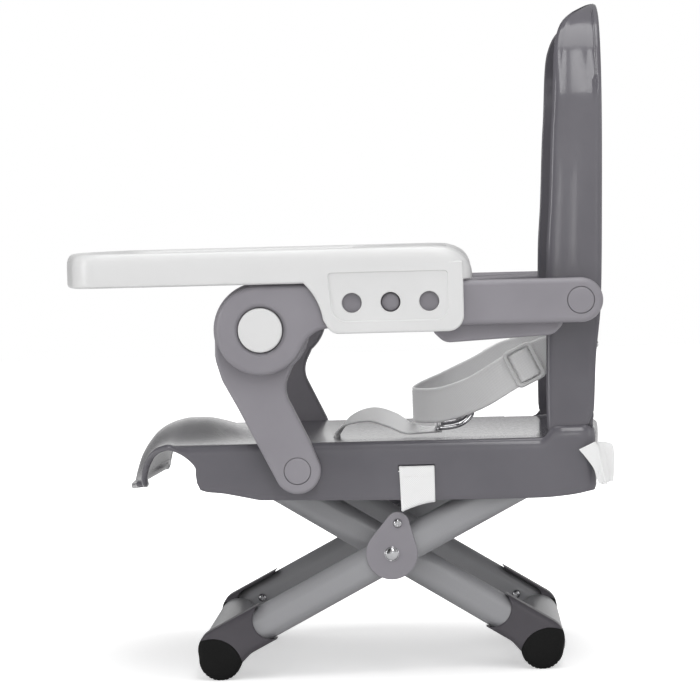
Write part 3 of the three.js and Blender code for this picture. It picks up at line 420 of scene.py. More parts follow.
def white_webbing():
    tree, shader = start_finish("white_webbing", 0.85)
    shader.inputs["Sheen Weight"].default_value = 0.25
    shader.inputs["Sheen Roughness"].default_value = 0.5
    place = add_node(tree, "Attribute", attribute_name="weave")
    parts = add_node(tree, "SeparateXYZ")
    cross = add_node(tree, "Math", operation="MULTIPLY")
    height = add_node(tree, "MapRange", {"From Min": -1})
    for i, (axis, yarn) in enumerate((("X", YARN), ("Y", 1.15 * YARN))):
        turns = add_node(tree, "Math", {1: 2 * math.pi / yarn}, operation="MULTIPLY")
        wave = add_node(tree, "Math", operation="SINE")
        connect(
            tree,
            (parts.outputs[axis], turns),
            (turns, wave),
            (wave, cross.inputs[i]),
        )
    connect(tree, (place.outputs["Vector"], parts), (cross, height))
    fuzz = object_noise(tree, 1800, 3)
    # The colour follows the weave's height: the low points take the darker tone, as painted shade between the
    # yarns.
    two_tones(tree, height, "e9e9e9", "f6f6f6", shader.inputs["Base Color"])
    between(tree, fuzz, 0.78, 0.92, shader.inputs["Roughness"])
    grain(tree, shader, [(height, 0.6, 0.22 * MM), (fuzz, 0.3, 0.08 * MM)])


white_webbing()
print("finishes", sorted(finishes))

# %% [markdown]
# Outlines.
#
# Most moulded pieces are plates seen from the side. Their outlines are arcs and rounded
# corners, held as 2D points of X and Z. An outline is moved inwards along its own normals
# to round the plate's edges, which keeps the edge radius even round every curve.

# %% Outline helpers
def arc(centre, radius, start, end, steps=None):
    """Points round an arc, its angles in degrees."""
    steps = steps or max(3, math.ceil(abs(end - start) / 6))
    angles = [math.radians(start + (end - start) * i / steps) for i in range(steps + 1)]
    return [Vector((centre[0] + radius * math.cos(a), centre[1] + radius * math.sin(a))) for a in angles]


def circle(centre, radius, steps=48):
    return arc(centre, radius, 0, 360, steps)[:-1]


def rounded(corners, steps=7):
    """A closed outline through corners of (x, z, radius), each corner an arc."""
    points = []
    for i, (x, z, *rest) in enumerate(corners):
        radius = rest[0] if rest else 0
        here = Vector((x, z))
        if not radius:
            points.append(here)
            continue
        before = Vector(corners[i - 1][:2]) - here
        after = Vector(corners[(i + 1) % len(corners)][:2]) - here
        half = before.angle(after) / 2
        reach = min(radius / math.tan(half), 0.5 * min(before.length, after.length))
        turn_radius = reach * math.tan(half)
        inward = (before.normalized() + after.normalized()).normalized()
        centre = here + inward * (turn_radius / math.sin(half))
        first = here + before.normalized() * reach - centre
        last = here + after.normalized() * reach - centre
        start = math.degrees(math.atan2(first.y, first.x))
        turn = (math.degrees(math.atan2(last.y, last.x)) - start + 180) % 360 - 180
        points += arc(centre, turn_radius, start, start + turn, steps)
    return points


def four_corners(low, high, *radii):
    """A rectangle's corners for an outline, with one radius for all or one for each."""
    places = ((low[0], low[1]), (high[0], low[1]), (high[0], high[1]), (low[0], high[1]))
    return [(x, z, r) for (x, z), r in zip(places, radii if len(radii) > 1 else radii * 4)]


def even_steps(outline, spacing):
    """The closed outline with its long stretches split into steps of about a spacing."""
    points = []
    for a, b in zip(outline, outline[1:] + outline[:1]):
        steps = max(1, round((b - a).length / spacing))
        points += [a.lerp(b, i / steps) for i in range(steps)]
    return points


def link(a, radius_a, b, radius_b):
    """The outline of a belt round two circles."""
    along = math.degrees(math.atan2(b[1] - a[1], b[0] - a[0]))
    lean = math.degrees(math.acos((radius_a - radius_b) / math.dist(a, b)))
    return arc(a, radius_a, along + lean, along + 360 - lean) + arc(b, radius_b, along - lean, along + lean)


def turning(points, way):
    """The outline in the asked direction: 1 against the clock, -1 with it."""
    area = sum(a.x * b.y - b.x * a.y for a, b in zip(points, points[1:] + points[:1]))
    return points if area * way > 0 else points[::-1]


def inset_loop(points, inset):
    moved = []
    for i, here in enumerate(points):
        a = (here - points[i - 1]).normalized()
        b = (points[(i + 1) % len(points)] - here).normalized()
        normal = Vector((-a.y - b.y, a.x + b.x)).normalized()
        moved.append(here + normal * (inset / max(0.5, normal.dot(Vector((-a.y, a.x))))))
    return moved


# %% Values and paths between given places
def lerp(a, b, t):
    return a + (b - a) * t


def smoothstep(value, low, high):
    t = min(1, max(0, (value - low) / (high - low)))
    return t * t * (3 - 2 * t)


def curve_value(table, at):
    """A smooth value from a table of (place, value) pairs, without overshoot."""
    if at <= table[0][0]:
        return table[0][1]
    if at >= table[-1][0]:
        return table[-1][1]
    i = max(k for k in range(len(table) - 1) if table[k][0] <= at)

    def slope(k):
        if k <= 0 or k >= len(table) - 1:
            a, b = table[max(0, k - 1)], table[min(len(table) - 1, k + 1)]
            return (b[1] - a[1]) / (b[0] - a[0])
        before = (table[k][1] - table[k - 1][1]) / (table[k][0] - table[k - 1][0])
        after = (table[k + 1][1] - table[k][1]) / (table[k + 1][0] - table[k][0])
        return 0 if before * after <= 0 else 2 * before * after / (before + after)

    (x0, y0), (x1, y1) = table[i], table[i + 1]
    h = x1 - x0
    t = (at - x0) / h
    a, b = (1 + 2 * t) * (1 - t) ** 2 * y0, t * (1 - t) ** 2 * h * slope(i)
    c, d = t * t * (3 - 2 * t) * y1, t * t * (t - 1) * h * slope(i + 1)
    return a + b + c + d


def smooth_path(points):
    """A curve through points, as a function of its share from 0 to 1."""
    def at(t):
        place = min(len(points) - 1.0001, max(0, t * (len(points) - 1)))
        i = int(place)
        w = place - i
        b, c = points[i], points[i + 1]
        a = points[i - 1] if i else 2 * b - c
        d = points[i + 2] if i + 2 < len(points) else 2 * c - b
        return 0.5 * (
            2 * b + (c - a) * w + (2 * a - 5 * b + 4 * c - d) * w * w + (3 * b - a - 3 * c + d) * w ** 3
        )
    return at


# %% [markdown]
# Mesh helpers.
#
# Every mesh goes through one function that merges doubled points, turns the faces outwards
# and keeps hard edges where the surface really breaks. A plate is a set of rings, one for
# each step round its rounded edge, closed by a triangulated face that leaves its holes open.

# %% Mesh helpers: finishing a mesh
SHARP = 38
MERGED = 0.005 * MM
overcut = 5 * MM


def smoothed(mesh, sharp):
    """The mesh with soft shading, and hard edges where it turns by more than sharp degrees."""
    for face in mesh.polygons:
        face.use_smooth = True
    mesh.set_sharp_from_angle(angle=math.radians(sharp))
    return mesh


def finished_mesh(name, points, faces, sharp=SHARP, merged=True):
    mesh = bpy.data.meshes.new(name)
    mesh.from_pydata([tuple(p) for p in points], [], faces)
    work = bmesh.new()
    work.from_mesh(mesh)
    if merged:
        bmesh.ops.remove_doubles(work, verts=work.verts, dist=MERGED)
    bmesh.ops.recalc_face_normals(work, faces=work.faces)
    work.to_mesh(mesh)
    work.free()
    return smoothed(mesh, sharp)


# %% Mesh helpers: plates
def edge_profile(low, high, radius, steps=4):
    """The (inset, y) steps from the middle of one face round the edge to the other."""
    angles = [0.5 * math.pi * k / steps for k in range(steps + 1)]
    quarter = [(radius * (1 - math.sin(a)), radius * (1 - math.cos(a))) for a in angles]
    return [(i, low + y) for i, y in quarter] + [(i, high - y) for i, y in reversed(quarter)]


def ring_faces(rows, count, first=0):
    """The quads between rings that follow each other, of count points each."""
    faces = []
    for row in range(first, first + rows * count, count):
        for i in range(count):
            a, b = row + i, row + (i + 1) % count
            faces.append((a, b, b + count, a + count))
    return faces


def plate(name, outline, low, high, edge, holes=(), steps=4):
    """A side view outline carried across the seat from low to high, its edges rounded."""
    low, high = sorted((low, high))
    profile = edge_profile(low, high, edge, steps)
    points, faces, ends = [], [], ([], [])
    for loop in [turning(outline, 1), *(turning(hole, -1) for hole in holes)]:
        first, count = len(points), len(loop)
        for inset, y in profile:
            points += [Vector((p.x, y, p.y)) for p in inset_loop(loop, inset)]
        faces += ring_faces(len(profile) - 1, count, first)
        last = first + (len(profile) - 1) * count
        ends[0].append(range(first, first + count))
        ends[1].append(range(last, last + count))
    for rings in ends:
        order = [i for ring in rings for i in ring]
        cap = tessellate_polygon([[Vector((points[i].x, points[i].z, 0)) for i in ring] for ring in rings])
        faces += [tuple(order[k] for k in corner) for corner in cap]
    return finished_mesh(name, points, faces)


# %% Mesh helpers: lofts and turned pieces
def loft(name, rings, caps=True, looped=False):
    """A skin through rings of points. Looped rings meet the first again, as on a pipe."""
    count = len(rings[0])
    points = [p for ring in rings for p in ring]
    faces = []
    for row in range(len(rings) if looped else len(rings) - 1):
        for i in range(count):
            a, b = row * count + i, row * count + (i + 1) % count
            up = ((row + 1) % len(rings) - row) * count
            faces.append((a, b, b + up, a + up))
    if caps and not looped:
        faces += [tuple(range(count)), tuple(range(len(points) - count, len(points)))]
    return finished_mesh(name, points, faces)


def lathe(name, profile, centre, side, steps=48):
    """A piece turned about an axis across the seat, from (radius, distance out) points."""
    rings = []
    for i in range(steps):
        a = 2 * math.pi * i / steps
        c, s = math.cos(a), math.sin(a)
        rings.append([Vector((centre[0] + r * c, side * y, centre[1] + r * s)) for r, y in profile])
    count = len(profile)
    points = [p for ring in rings for p in ring]
    faces = []
    starts = [(i * count, (i + 1) % steps * count) for i in range(steps)]
    for a, b in starts:
        faces += [(a + k, b + k, b + k + 1, a + k + 1) for k in range(count - 1)]
    if profile[0][0] > 0 or profile[-1][0] > 0:
        faces += [(a + count - 1, b + count - 1, b, a) for a, b in starts]
    return finished_mesh(name, points, faces)


def round_block(centre, radius, side, inner, outer, steps=64):
    """A plain round block across the seat, which makes a hole where it is taken away."""
    profile = [(0, inner), (radius, inner), (radius, outer), (0, outer)]
    return lathe("round_block", profile, centre, side, steps)


# %% Mesh helpers: joining, carving and placing
def joined(name, *meshes):
    """One mesh of several, for a moulding that is drawn in parts."""
    work = bmesh.new()
    for mesh in meshes:
        work.from_mesh(mesh)
    made = bpy.data.meshes.new(name)
    work.to_mesh(made)
    work.free()
    return made


def carved(name, mesh, cutters, operation="DIFFERENCE", sharp=SHARP):
    """The mesh with each cutter taken away, added or kept in common."""
    holders = [added_object("carving", shape) for shape in (mesh, *cutters)]
    for cutter in holders[1:]:
        step = holders[0].modifiers.new("carve", "BOOLEAN")
        step.operation = operation
        step.solver = "EXACT"
        step.object = cutter
    graph = bpy.context.evaluated_depsgraph_get()
    made = bpy.data.meshes.new_from_object(holders[0].evaluated_get(graph))
    made.name = name
    made.materials.clear()
    for holder in holders:
        bpy.data.objects.remove(holder)
    return smoothed(made, sharp)


def piece(name, mesh, finish, body, *nodes, flat_faces=True):
    """Puts a mesh on its body, in its finish, for the frame's nodes that it stands for."""
    made = added_object(name, mesh)
    mesh.materials.clear()
    mesh.materials.append(finishes[finish])
    if flat_faces:
        weighted = made.modifiers.new("even_faces", "WEIGHTED_NORMAL")
        weighted.keep_sharp = True
        weighted.weight = 80
    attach(made, body)
    if nodes:
        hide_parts(*nodes)
    return made


def on_both_sides(*makers):
    for label, side in SIDES:
        for make in makers:
            make(label, side)


# %% [markdown]
# The seat.
#
# One glossy moulding: a shallow dish, a rolled lip that drops in front with a pommel in its
# middle, and a skirt round it that hides the frame. A grid of sections gives the top. Rows
# of points then run round the whole border, over the rim and down to the skirt's edge, and
# on the lip the same rows close into the rolled bead that the photograph shows.

# %% Seat: driving sizes
skirt_drop = 41 * MM
seat_rim = SEAT_LOW.z + skirt_drop
seat_rear = SEAT_HIGH.x - 3.5 * MM
strut_gap = 4 * MM
seat_half = STRUT_IN - strut_gap
rim_radius = 5 * MM
lip_shoulder = seat_rear - 283.5 * MM
lip_reach = 35.6 * MM
lip_drop = 26.5 * MM
lip_bow = 14 * MM
lip_half = seat_half - 36 * MM
pan_dish = 5 * MM
pan_skin = 3 * MM
pommel_height = 12.1 * MM
pommel_length = 52 * MM
ear_start = seat_rear - 38 * MM
ear_height = 8.5 * MM
lip_edge = 3.2 * MM
lip_run = 50 * MM
rear_wall_drop = 15 * MM
rear_wall_turn = 40 * MM
corner_rear = 3 * MM
corner_front = 14 * MM
pan_share = 0.36
webbing_width = 25 * MM
webbing_thickness = 1.8 * MM

lip_shares = [
    (0, 0), (0.2, 0), (0.4, 0), (0.6, 0.08), (0.76, 0.23), (0.885, 0.45), (0.955, 0.66), (0.99, 0.86),
    (1, 1),
]
lip_places = [Vector((lip_shoulder - a * lip_reach, seat_rim - b * lip_drop)) for a, b in lip_shares]
lip_point = smooth_path(lip_places)


def lip_inward(t):
    along = lip_point(min(1, t + 0.002)) - lip_point(max(0, t - 0.002))
    along.normalize()
    return Vector((-along.y, 0, along.x))


# %% Seat: the top surface
def corner_setback(distance, radius):
    """How far a rounded corner draws a side in, at a distance from the edge that it meets."""
    left = radius - min(radius, max(0, distance))
    return radius - math.sqrt(radius ** 2 - left ** 2)


def lip_share(u):
    """How far along the lip a section lies: 0 on the pan, 1 at the lip's end."""
    return max(0, (u - pan_share) / (1 - pan_share))


def seat_point(u, v, edge):
    """A point of the pan's top. u runs from the rear edge to the lip's end, v across it."""
    lip = lip_share(u)
    rear = seat_rear - rim_radius
    profile = lip_point(lip) if lip else Vector((lerp(rear, lip_shoulder, u / pan_share), seat_rim))
    inward = lip_inward(lip) if lip else Vector((0, 0, -1))
    half = lerp(seat_half, lip_half, smoothstep(lip, 0, 0.75)) - edge
    behind = rear - profile.x
    ahead = (1 - lip) * lip_run
    half -= corner_setback(behind, corner_rear) + corner_setback(ahead, corner_front)
    across = math.cos(v * math.pi / 2) ** lerp(2, 1.3, lip)
    rise = pommel_height * curve_value(pommel_shares, lip) * across
    rise *= smoothstep(profile.x, lip_shoulder + pommel_length, lip_shoulder)
    dish = pan_dish * (1 - v * v) * smoothstep(u, 0, 0.03) * (1 - smoothstep(u, 0.2, pan_share))
    bow = lip_bow * lip ** 1.5 * across
    return Vector((profile.x - bow, v * half, profile.y + rise - dish)), inward


def ear_lift(x):
    """How far the rim rises towards the rear, where it hides the backrest's hinge."""
    share = (x - ear_start) / (seat_rear - ear_start)
    return ear_height * curve_value(ear_shares, share)


pommel_shares = [
    (0, 1), (0.125, 1), (0.25, 0.9), (0.5, 0.75), (0.625, 0.6), (0.75, 0.42), (0.875, 0.05), (1, -0.49)
]
ear_shares = [(0, 0), (0.06, 0.1), (0.13, 0.42), (0.2, 0.8), (0.26, 0.96), (0.32, 1), (1, 1)]


def border_edge(u):
    """How far the rim's rounding is set in: wide on the skirt, narrow along the lip."""
    return lerp(rim_radius, lip_edge, smoothstep(u, pan_share, pan_share + 0.2))


rear_stations = [0, 0.5, 1.6, 3.2, 5.2, 8, 12, 18, 23] + [25 + 1.2 * i for i in range(13)]
pan_length = seat_rear - rim_radius - lip_shoulder
rear_u = [pan_share * d * MM / pan_length for d in rear_stations]
skirt_turn_u = 0.8 * pan_share
pan_u = [lerp(rear_u[-1], skirt_turn_u, i / 30) for i in range(1, 31)]
turn_u = [lerp(skirt_turn_u, pan_share, i / 24) for i in range(1, 25)]
lip_u = [lerp(pan_share, 1, i / 34) for i in range(1, 35)]
seat_u = rear_u + pan_u + turn_u + lip_u
seat_v = [math.sin(0.5 * math.pi * (2 * j / 44 - 1)) * 0.55 + (2 * j / 44 - 1) * 0.45 for j in range(45)]
print("seat grid", len(seat_u), "by", len(seat_v))

# %% Seat: the skirt's lower edge
skirt_front_shares = [
    (0.175, 0.046), (0.154, 0.078), (0.133, 0.11), (0.112, 0.14), (0.09, 0.172), (0.069, 0.19),
    (0.048, 0.203), (0.029, 0.24), (0.0205, 0.365), (0.018, 0.516), (0.019, 0.606), (0.014, 0.666),
    (0.0, 0.756), (-0.0164, 0.85),
]
skirt_low_shares = [
    (0.175, 0.046), (0.64, -0.012), (0.8, -0.02), (0.87, -0.015), (0.92, 0.01), (0.962, 0.05), (1, 0.15)
]
skirt_turn_share = skirt_low_shares[0][0]
skirt_length = seat_rear - lip_shoulder
skirt_over_lip = 12 * MM


def along_table(table, t):
    """A point of a table of (a, b) pairs at a share t of its length."""
    place = min(len(table) - 1.001, max(0, t * (len(table) - 1)))
    i = int(place)
    return lerp(Vector(table[i]), Vector(table[i + 1]), place - i)


def skirt_foot(point):
    """Where the skirt's lower edge lies under a point of the rim."""
    a = (point.x - lip_shoulder) / skirt_length
    b = curve_value(skirt_low_shares, a)
    if a < skirt_turn_share:
        reach = (skirt_turn_share - a) * skirt_length + max(0, seat_rim - point.z)
        t = reach / (skirt_turn_share * skirt_length + skirt_over_lip)
        if t > 1:
            return None
        a, b = along_table(skirt_front_shares, t)
    return Vector((lip_shoulder + a * skirt_length, 0, SEAT_LOW.z + b * skirt_drop))


# %% Seat: border rows
rim_rows = [(math.sin(math.radians(a)), 1 - math.cos(math.radians(a))) for a in (22.5, 45, 67.5, 90)]
foot_rows = [0.12, 0.35, 0.62, 0.88, 0.975]
side_bead_rows = [
    (0.9, 0.1), (1.6, 0.1), (2.3, -0.45), (3.3, -0.8), (4.4, -0.6), (5.2, 0.2),
    (5.5, 1.2), (5.2, 2.3), (4.5, 3.2), (3.6, 3.6), (2.8, 3.7), (2.0, 3.5), (1.2, 3.2),
]
front_bead_rows = [
    (0.8, -0.2), (1.2, -1.2), (1.3, -3), (1.6, -4.6), (2.4, -5.9), (3.6, -6.5),
    (4.8, -6.1), (5.5, -4.9), (5.8, -3), (5.6, -0.6), (5.0, 1.3), (3.6, 2.6), (1.6, 3.0),
]


def border_rows(point, out, inward, foot, edge, blend, front, flare):
    """The rows from one border point, over the rim, down the skirt and back inside."""
    flared = [(a, b * flare if b < 0 else b) for a, b in front_bead_rows]
    rolled = [Vector(a).lerp(Vector(b), front) * MM for a, b in zip(side_bead_rows, flared)]
    bead = [point + out * r.x + inward * r.y for r in rolled]
    if foot is None:
        return bead
    rim = [point + out * (edge * a) + inward * (edge * b) for a, b in rim_rows]
    base = Vector((foot.x, rim[-1].y, foot.z))
    level = Vector((out.x, out.y, 0)).normalized() * pan_skin
    rows = rim + [lerp(rim[-1], base, w) for w in foot_rows]
    rows += [base - level * 0.15, base - level * 0.85]
    rows += [lerp(base, rim[-1], w) - level for w in (0.1, 0.85)]
    return [lerp(a, b, blend) for a, b in zip(rows, bead)]


# %% Seat: the closed moulding
def seat_loop():
    """The grid's border points, once round: right side, lip, left side and rear."""
    rows_u, rows_v = len(seat_u), len(seat_v)
    right = [i * rows_v + rows_v - 1 for i in range(rows_u)]
    front = [(rows_u - 1) * rows_v + j for j in range(rows_v - 2, 0, -1)]
    left = [i * rows_v for i in range(rows_u - 1, -1, -1)]
    return right + front + left + list(range(1, rows_v - 1))


def foot_under(here, out, edge, at_rear):
    """Where the skirt, or the low wall at the rear, ends under a point of the border."""
    straight_down = here.x + out.x * edge
    if at_rear:
        side = smoothstep(abs(here.y), seat_half - rear_wall_turn, seat_half - corner_rear - rim_radius)
        low = lerp(seat_rim - rear_wall_drop, SEAT_LOW.z + skirt_low_shares[-1][1] * skirt_drop, side)
        return Vector((straight_down, 0, low))
    foot = skirt_foot(here)
    if foot and foot.x > lip_shoulder + 0.3 * skirt_length:
        foot.x = straight_down
    return foot


def border_at(top, loop, k):
    """The rows that run down from one point of the border."""
    index = loop[k]
    u = seat_u[index // len(seat_v)]
    lip = lip_share(u)
    here, inward = top[index], seat_point(u, 0, 0)[1]
    along = top[loop[(k + 1) % len(loop)]] - top[loop[k - 1]]
    out = along.cross(-inward).normalized()
    if out.dot(here - Vector((lerp(seat_rear, lip_shoulder, 0.5), 0, here.z))) < 0 and lip < 0.5:
        out.negate()
    edge = border_edge(u)
    foot = foot_under(here, out, edge, u == 0)
    if u == 0:
        inward = Vector((0, 0, -1))
    across = abs(seat_v[index % len(seat_v)])
    front = smoothstep(1 - across, 0, 0.06) if u == 1 else 0
    flare = lerp(0.4, 1, across ** 4)
    blend = smoothstep(lip, 0.02, 0.2) if foot else 1
    return border_rows(here, out, inward, foot, edge, blend, front, flare)


def seat_moulding():
    top, under = [], []
    for u in seat_u:
        for v in seat_v:
            point, inward = seat_point(u, v, border_edge(u))
            if abs(v) > 0.999:
                point.z += ear_lift(point.x)
            top.append(point)
            under.append(point + inward * pan_skin)
    shift, across = len(top), len(seat_v)
    faces = []
    for i in range(len(seat_u) - 1):
        for a in range(i * across, (i + 1) * across - 1):
            quad = (a, a + 1, a + across + 1, a + across)
            faces += [quad, tuple(k + shift for k in reversed(quad))]
    loop = seat_loop()
    border = [border_at(top, loop, k) for k in range(len(loop))]
    count = len(border[0])

    def chain(k):
        first = 2 * shift + k * count
        return [loop[k], *range(first, first + count), loop[k] + shift]

    for k in range(len(loop)):
        here, after = chain(k), chain((k + 1) % len(loop))
        faces += [(here[r], here[r + 1], after[r + 1], after[r]) for r in range(count + 1)]
    points = top + under + [p for rows in border for p in rows]
    return finished_mesh("seat_moulding", points, faces, 50)


seat_body = seat_moulding()
print("seat moulding", len(seat_body.vertices), "points")

# %% [markdown]
# The seat's openings and upstands.
#
# The crotch strap comes up through the pan, a tie-down strap through each skirt, and the
# backrest's wings swing through a slot beside each skirt. They are cut from the closed
# moulding, so each opening has real walls. Outside the wings' slots the rim stays as an ear
# that hides the back hinge.

# %% Seat: openings and bosses
crotch_slot = Vector((lip_shoulder + 99 * MM, seat_rim))
slot_width = 5 * MM
slot_overrun = 3 * MM
side_strap_low, side_strap_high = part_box("side_strap_right")
side_slot_height = side_strap_high.z - slot_width / 2
wing_slot = (seat_rear - 60 * MM, seat_rear - 2.5 * MM)
wing_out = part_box("back_hinge_rod")[1].y + 0.3 * MM
wing_in = wing_out - 3.5 * MM
skirt_in = wing_out + 0.5 * MM
play = 0.3 * MM


def box_mesh(name, low, high, edge=0.4 * MM):
    """A cutter block with lightly rounded edges, from its lowest corner to its highest."""
    corners = four_corners((low[0], low[2]), (high[0], high[2]), edge)
    return plate(name, rounded(corners, 2), low[1], high[1], edge, steps=2)


def seat_cutters():
    reach = webbing_width / 2 + play
    half = slot_width / 2
    low = (crotch_slot.x - half, -reach, seat_rim - skirt_drop)
    yield box_mesh("crotch_slot", low, (crotch_slot.x + half, reach, seat_rim + skirt_drop))
    for _, side in SIDES:
        inner, outer = sorted((side * (wing_in - 0.5 * MM), side * skirt_in))
        low = (wing_slot[0], inner, SEAT_LOW.z)
        yield box_mesh("wing_slot", low, (wing_slot[1], outer, seat_rim + skirt_drop))
        inner, outer = sorted((side * (skirt_in - slot_overrun), side * (seat_half + slot_overrun)))
        low = (side_strap_low.x - play, inner, side_slot_height - half)
        yield box_mesh("strap_slot", low, (side_strap_high.x + play, outer, side_slot_height + half))


def strut_boss(side):
    profile = [(5.3, -0.5), (11.2, -0.5), (12, 0.4), (12, 3.1), (11.4, 3.7), (5.3, 3.7)]
    return lathe("boss", [(r * MM, seat_half + y * MM) for r, y in profile], STRUT_PIVOT, side)


seat_open = carved("seat_moulding", seat_body, list(seat_cutters()), sharp=50)
rib_low = (lip_shoulder + 8 * MM, -skirt_in, seat_rim - 16 * MM)
rib_high = (lip_shoulder + 11 * MM, skirt_in, seat_rim - 5.5 * MM)
front_rib = box_mesh("front_rib", rib_low, rib_high)
seat_parts = [strut_boss(side) for _, side in SIDES]
seat_mesh = joined("seat_moulding", seat_open, front_rib, *seat_parts)
seat = piece("seat_moulding", seat_mesh, "seat_plastic", "seat", "seat_shell", flat_faces=False)
print("seat", len(seat.data.polygons), "faces")

# %% [markdown]
# The backrest.
#
# Seen from the front it is an arch with round shoulders; seen from the side its wings are
# deep at the hinge and sweep back to the rear edge at the top. One set of rings follows the
# arch, and each ring is set at its own depth and its own distance in from the edge, so the
# rim, the crowned wings, their inner walls and the panel are one continuous surface.

# %% Backrest: driving sizes
BACK_LOW, BACK_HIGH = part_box("backrest_shell")
back_front = BACK_LOW.x
back_depth = BACK_HIGH.x - BACK_LOW.x
back_height = BACK_HIGH.z - BACK_HINGE.y
back_top_radius = 72 * MM
hinge_end = 13.5 * MM
wing_wall = wing_out - wing_in
recess = 6 * MM
panel_wall = 2.5 * MM
panel_border = 15 * MM
full_depth = 14 * MM
front_shares = [
    (-0.05, 0.05), (-0.035, 0.012), (-0.02, 0.0), (0.022, 0.0), (0.174, 0.018), (0.398, 0.055),
    (0.515, 0.11), (0.679, 0.165), (0.754, 0.2), (0.802, 0.214), (0.851, 0.228), (0.887, 0.245),
    (0.909, 0.266), (0.926, 0.295), (0.946, 0.343), (0.963, 0.412), (0.975, 0.49), (0.985, 0.6),
    (0.993, 0.71), (1.0, 0.87),
]
rear_shares = [
    (-0.05, 0.46), (-0.03, 0.6), (-0.012, 0.655), (0.012, 0.72), (0.036, 0.731), (0.132, 0.766),
    (0.274, 0.865), (0.512, 0.915), (0.75, 0.946), (0.96, 0.955), (1.0, 0.945),
]
panel_shares = [(0.0, 0.27), (0.415, 0.352), (0.76, 0.462), (0.9, 0.64), (0.945, 0.74), (1.0, 0.86)]


# %% Backrest: the arch and its rings
def arch():
    """Half of the arch seen from the front: (y, z) up the right side to the middle."""
    low = BACK_HINGE.y - hinge_end
    top = BACK_HIGH.z
    straight = top - back_top_radius
    side = [Vector((wing_out, lerp(low, straight, i / 56))) for i in range(56)]
    bend = arc((wing_out - back_top_radius, straight), back_top_radius, 0, 90, 22)
    level = [Vector((lerp(wing_out - back_top_radius, 0, i / 12), top)) for i in range(1, 13)]
    return side + bend + level


arch_points = arch()
panel_start = 11
print("half an arch", len(arch_points), "points")


def arch_inset(index, inset):
    here = arch_points[index]
    straight = BACK_HIGH.z - back_top_radius
    if here.y <= straight:
        return here - Vector((inset, 0))
    if here.x < wing_out - back_top_radius:
        return here - Vector((0, inset))
    centre = Vector((wing_out - back_top_radius, straight))
    return centre + (here - centre).normalized() * (back_top_radius - inset)


def depth_at(table, z):
    """Where a table of shares puts a surface of the backrest at a height."""
    return back_front + curve_value(table, (z - BACK_HINGE.y) / back_height) * back_depth


def wing_rows():
    """(inset, depth) steps round a wing's section, from inside its front edge to its rear recess."""
    front = [
        (wing_wall, "front", 6), (wing_wall, "front", 1.5), (3.1 * MM, "front", 0.4),
        (2.5 * MM, "front", 0),
    ]
    front += [(2.0 * MM, "front", 0.15), (0.5 * MM, "front", 2.1), (0.12 * MM, "front", 3)]
    side = [
        (crown * MM, "crown", share)
        for crown, share in ((0.3, 0.16), (0.12, 0.3), (0, 0.5), (0.12, 0.68), (0.28, 0.8))
    ]
    rear = [(seam * MM, "seam", out) for seam, out in ((0, 4.7), (0.55, 4.3), (0.55, 3.7), (0, 3.3))]
    rear += [
        (0.5 * MM, "rear", 1.9), (0.8 * MM, "rear", 0.7), (1.5 * MM, "rear", 0), (2.6 * MM, "rear", 0),
        (3.3 * MM, "rear", 0.5),
    ]
    return front + side + rear + [(wing_wall, "rear", 1.3), (wing_wall, "rear", recess / MM)]


# %% Backrest: the points of a ring
shoulder_start = BACK_HIGH.z - back_top_radius


def ring_point(index, inset, kind, value):
    z = arch_points[index].y
    front, rear = depth_at(front_shares, z), depth_at(rear_shares, z)
    room = max(0.15, min(1, (rear - front) / full_depth))
    if kind == "front":
        x = front + value * MM * room
    elif kind == "rear":
        x = rear - value * MM * room
    elif kind == "seam":
        x = rear - value * MM * room
        inset = lerp(0.4 * MM, inset + 0.5 * MM, smoothstep(z, shoulder_start, shoulder_start + 20 * MM))
    elif kind == "crown":
        x = lerp(front, rear, value)
        inset *= lerp(1, 3.2, smoothstep(z, shoulder_start, shoulder_start + 50 * MM))
    else:
        x = max(min(depth_at(panel_shares, z), rear - recess * room - panel_wall), front + value * MM * room)
        low = arch_inset(index, inset).y
        level = min(depth_at(panel_shares, low), depth_at(rear_shares, low) - recess - panel_wall)
        x = lerp(x, level, smoothstep(inset, wing_wall, panel_border))
    place = arch_inset(index, inset)
    return Vector((x, place.x, place.y))


# %% Backrest: the closed moulding
panel_insets = [(5.0, 2.0), (7.5, 0.6), (11, 0.1), (15, 0)]


def panel_place(index, share):
    """A point of the panel, from its border (share 0) to the middle line (share 1)."""
    border = arch_inset(index, panel_border)
    low, high = arch_points[panel_start].y, BACK_HIGH.z - panel_border
    along = (index - panel_start) / (len(arch_points) - 1 - panel_start)
    centre = Vector((0, lerp(low, high, along ** 0.8)))
    return border.lerp(centre, share)


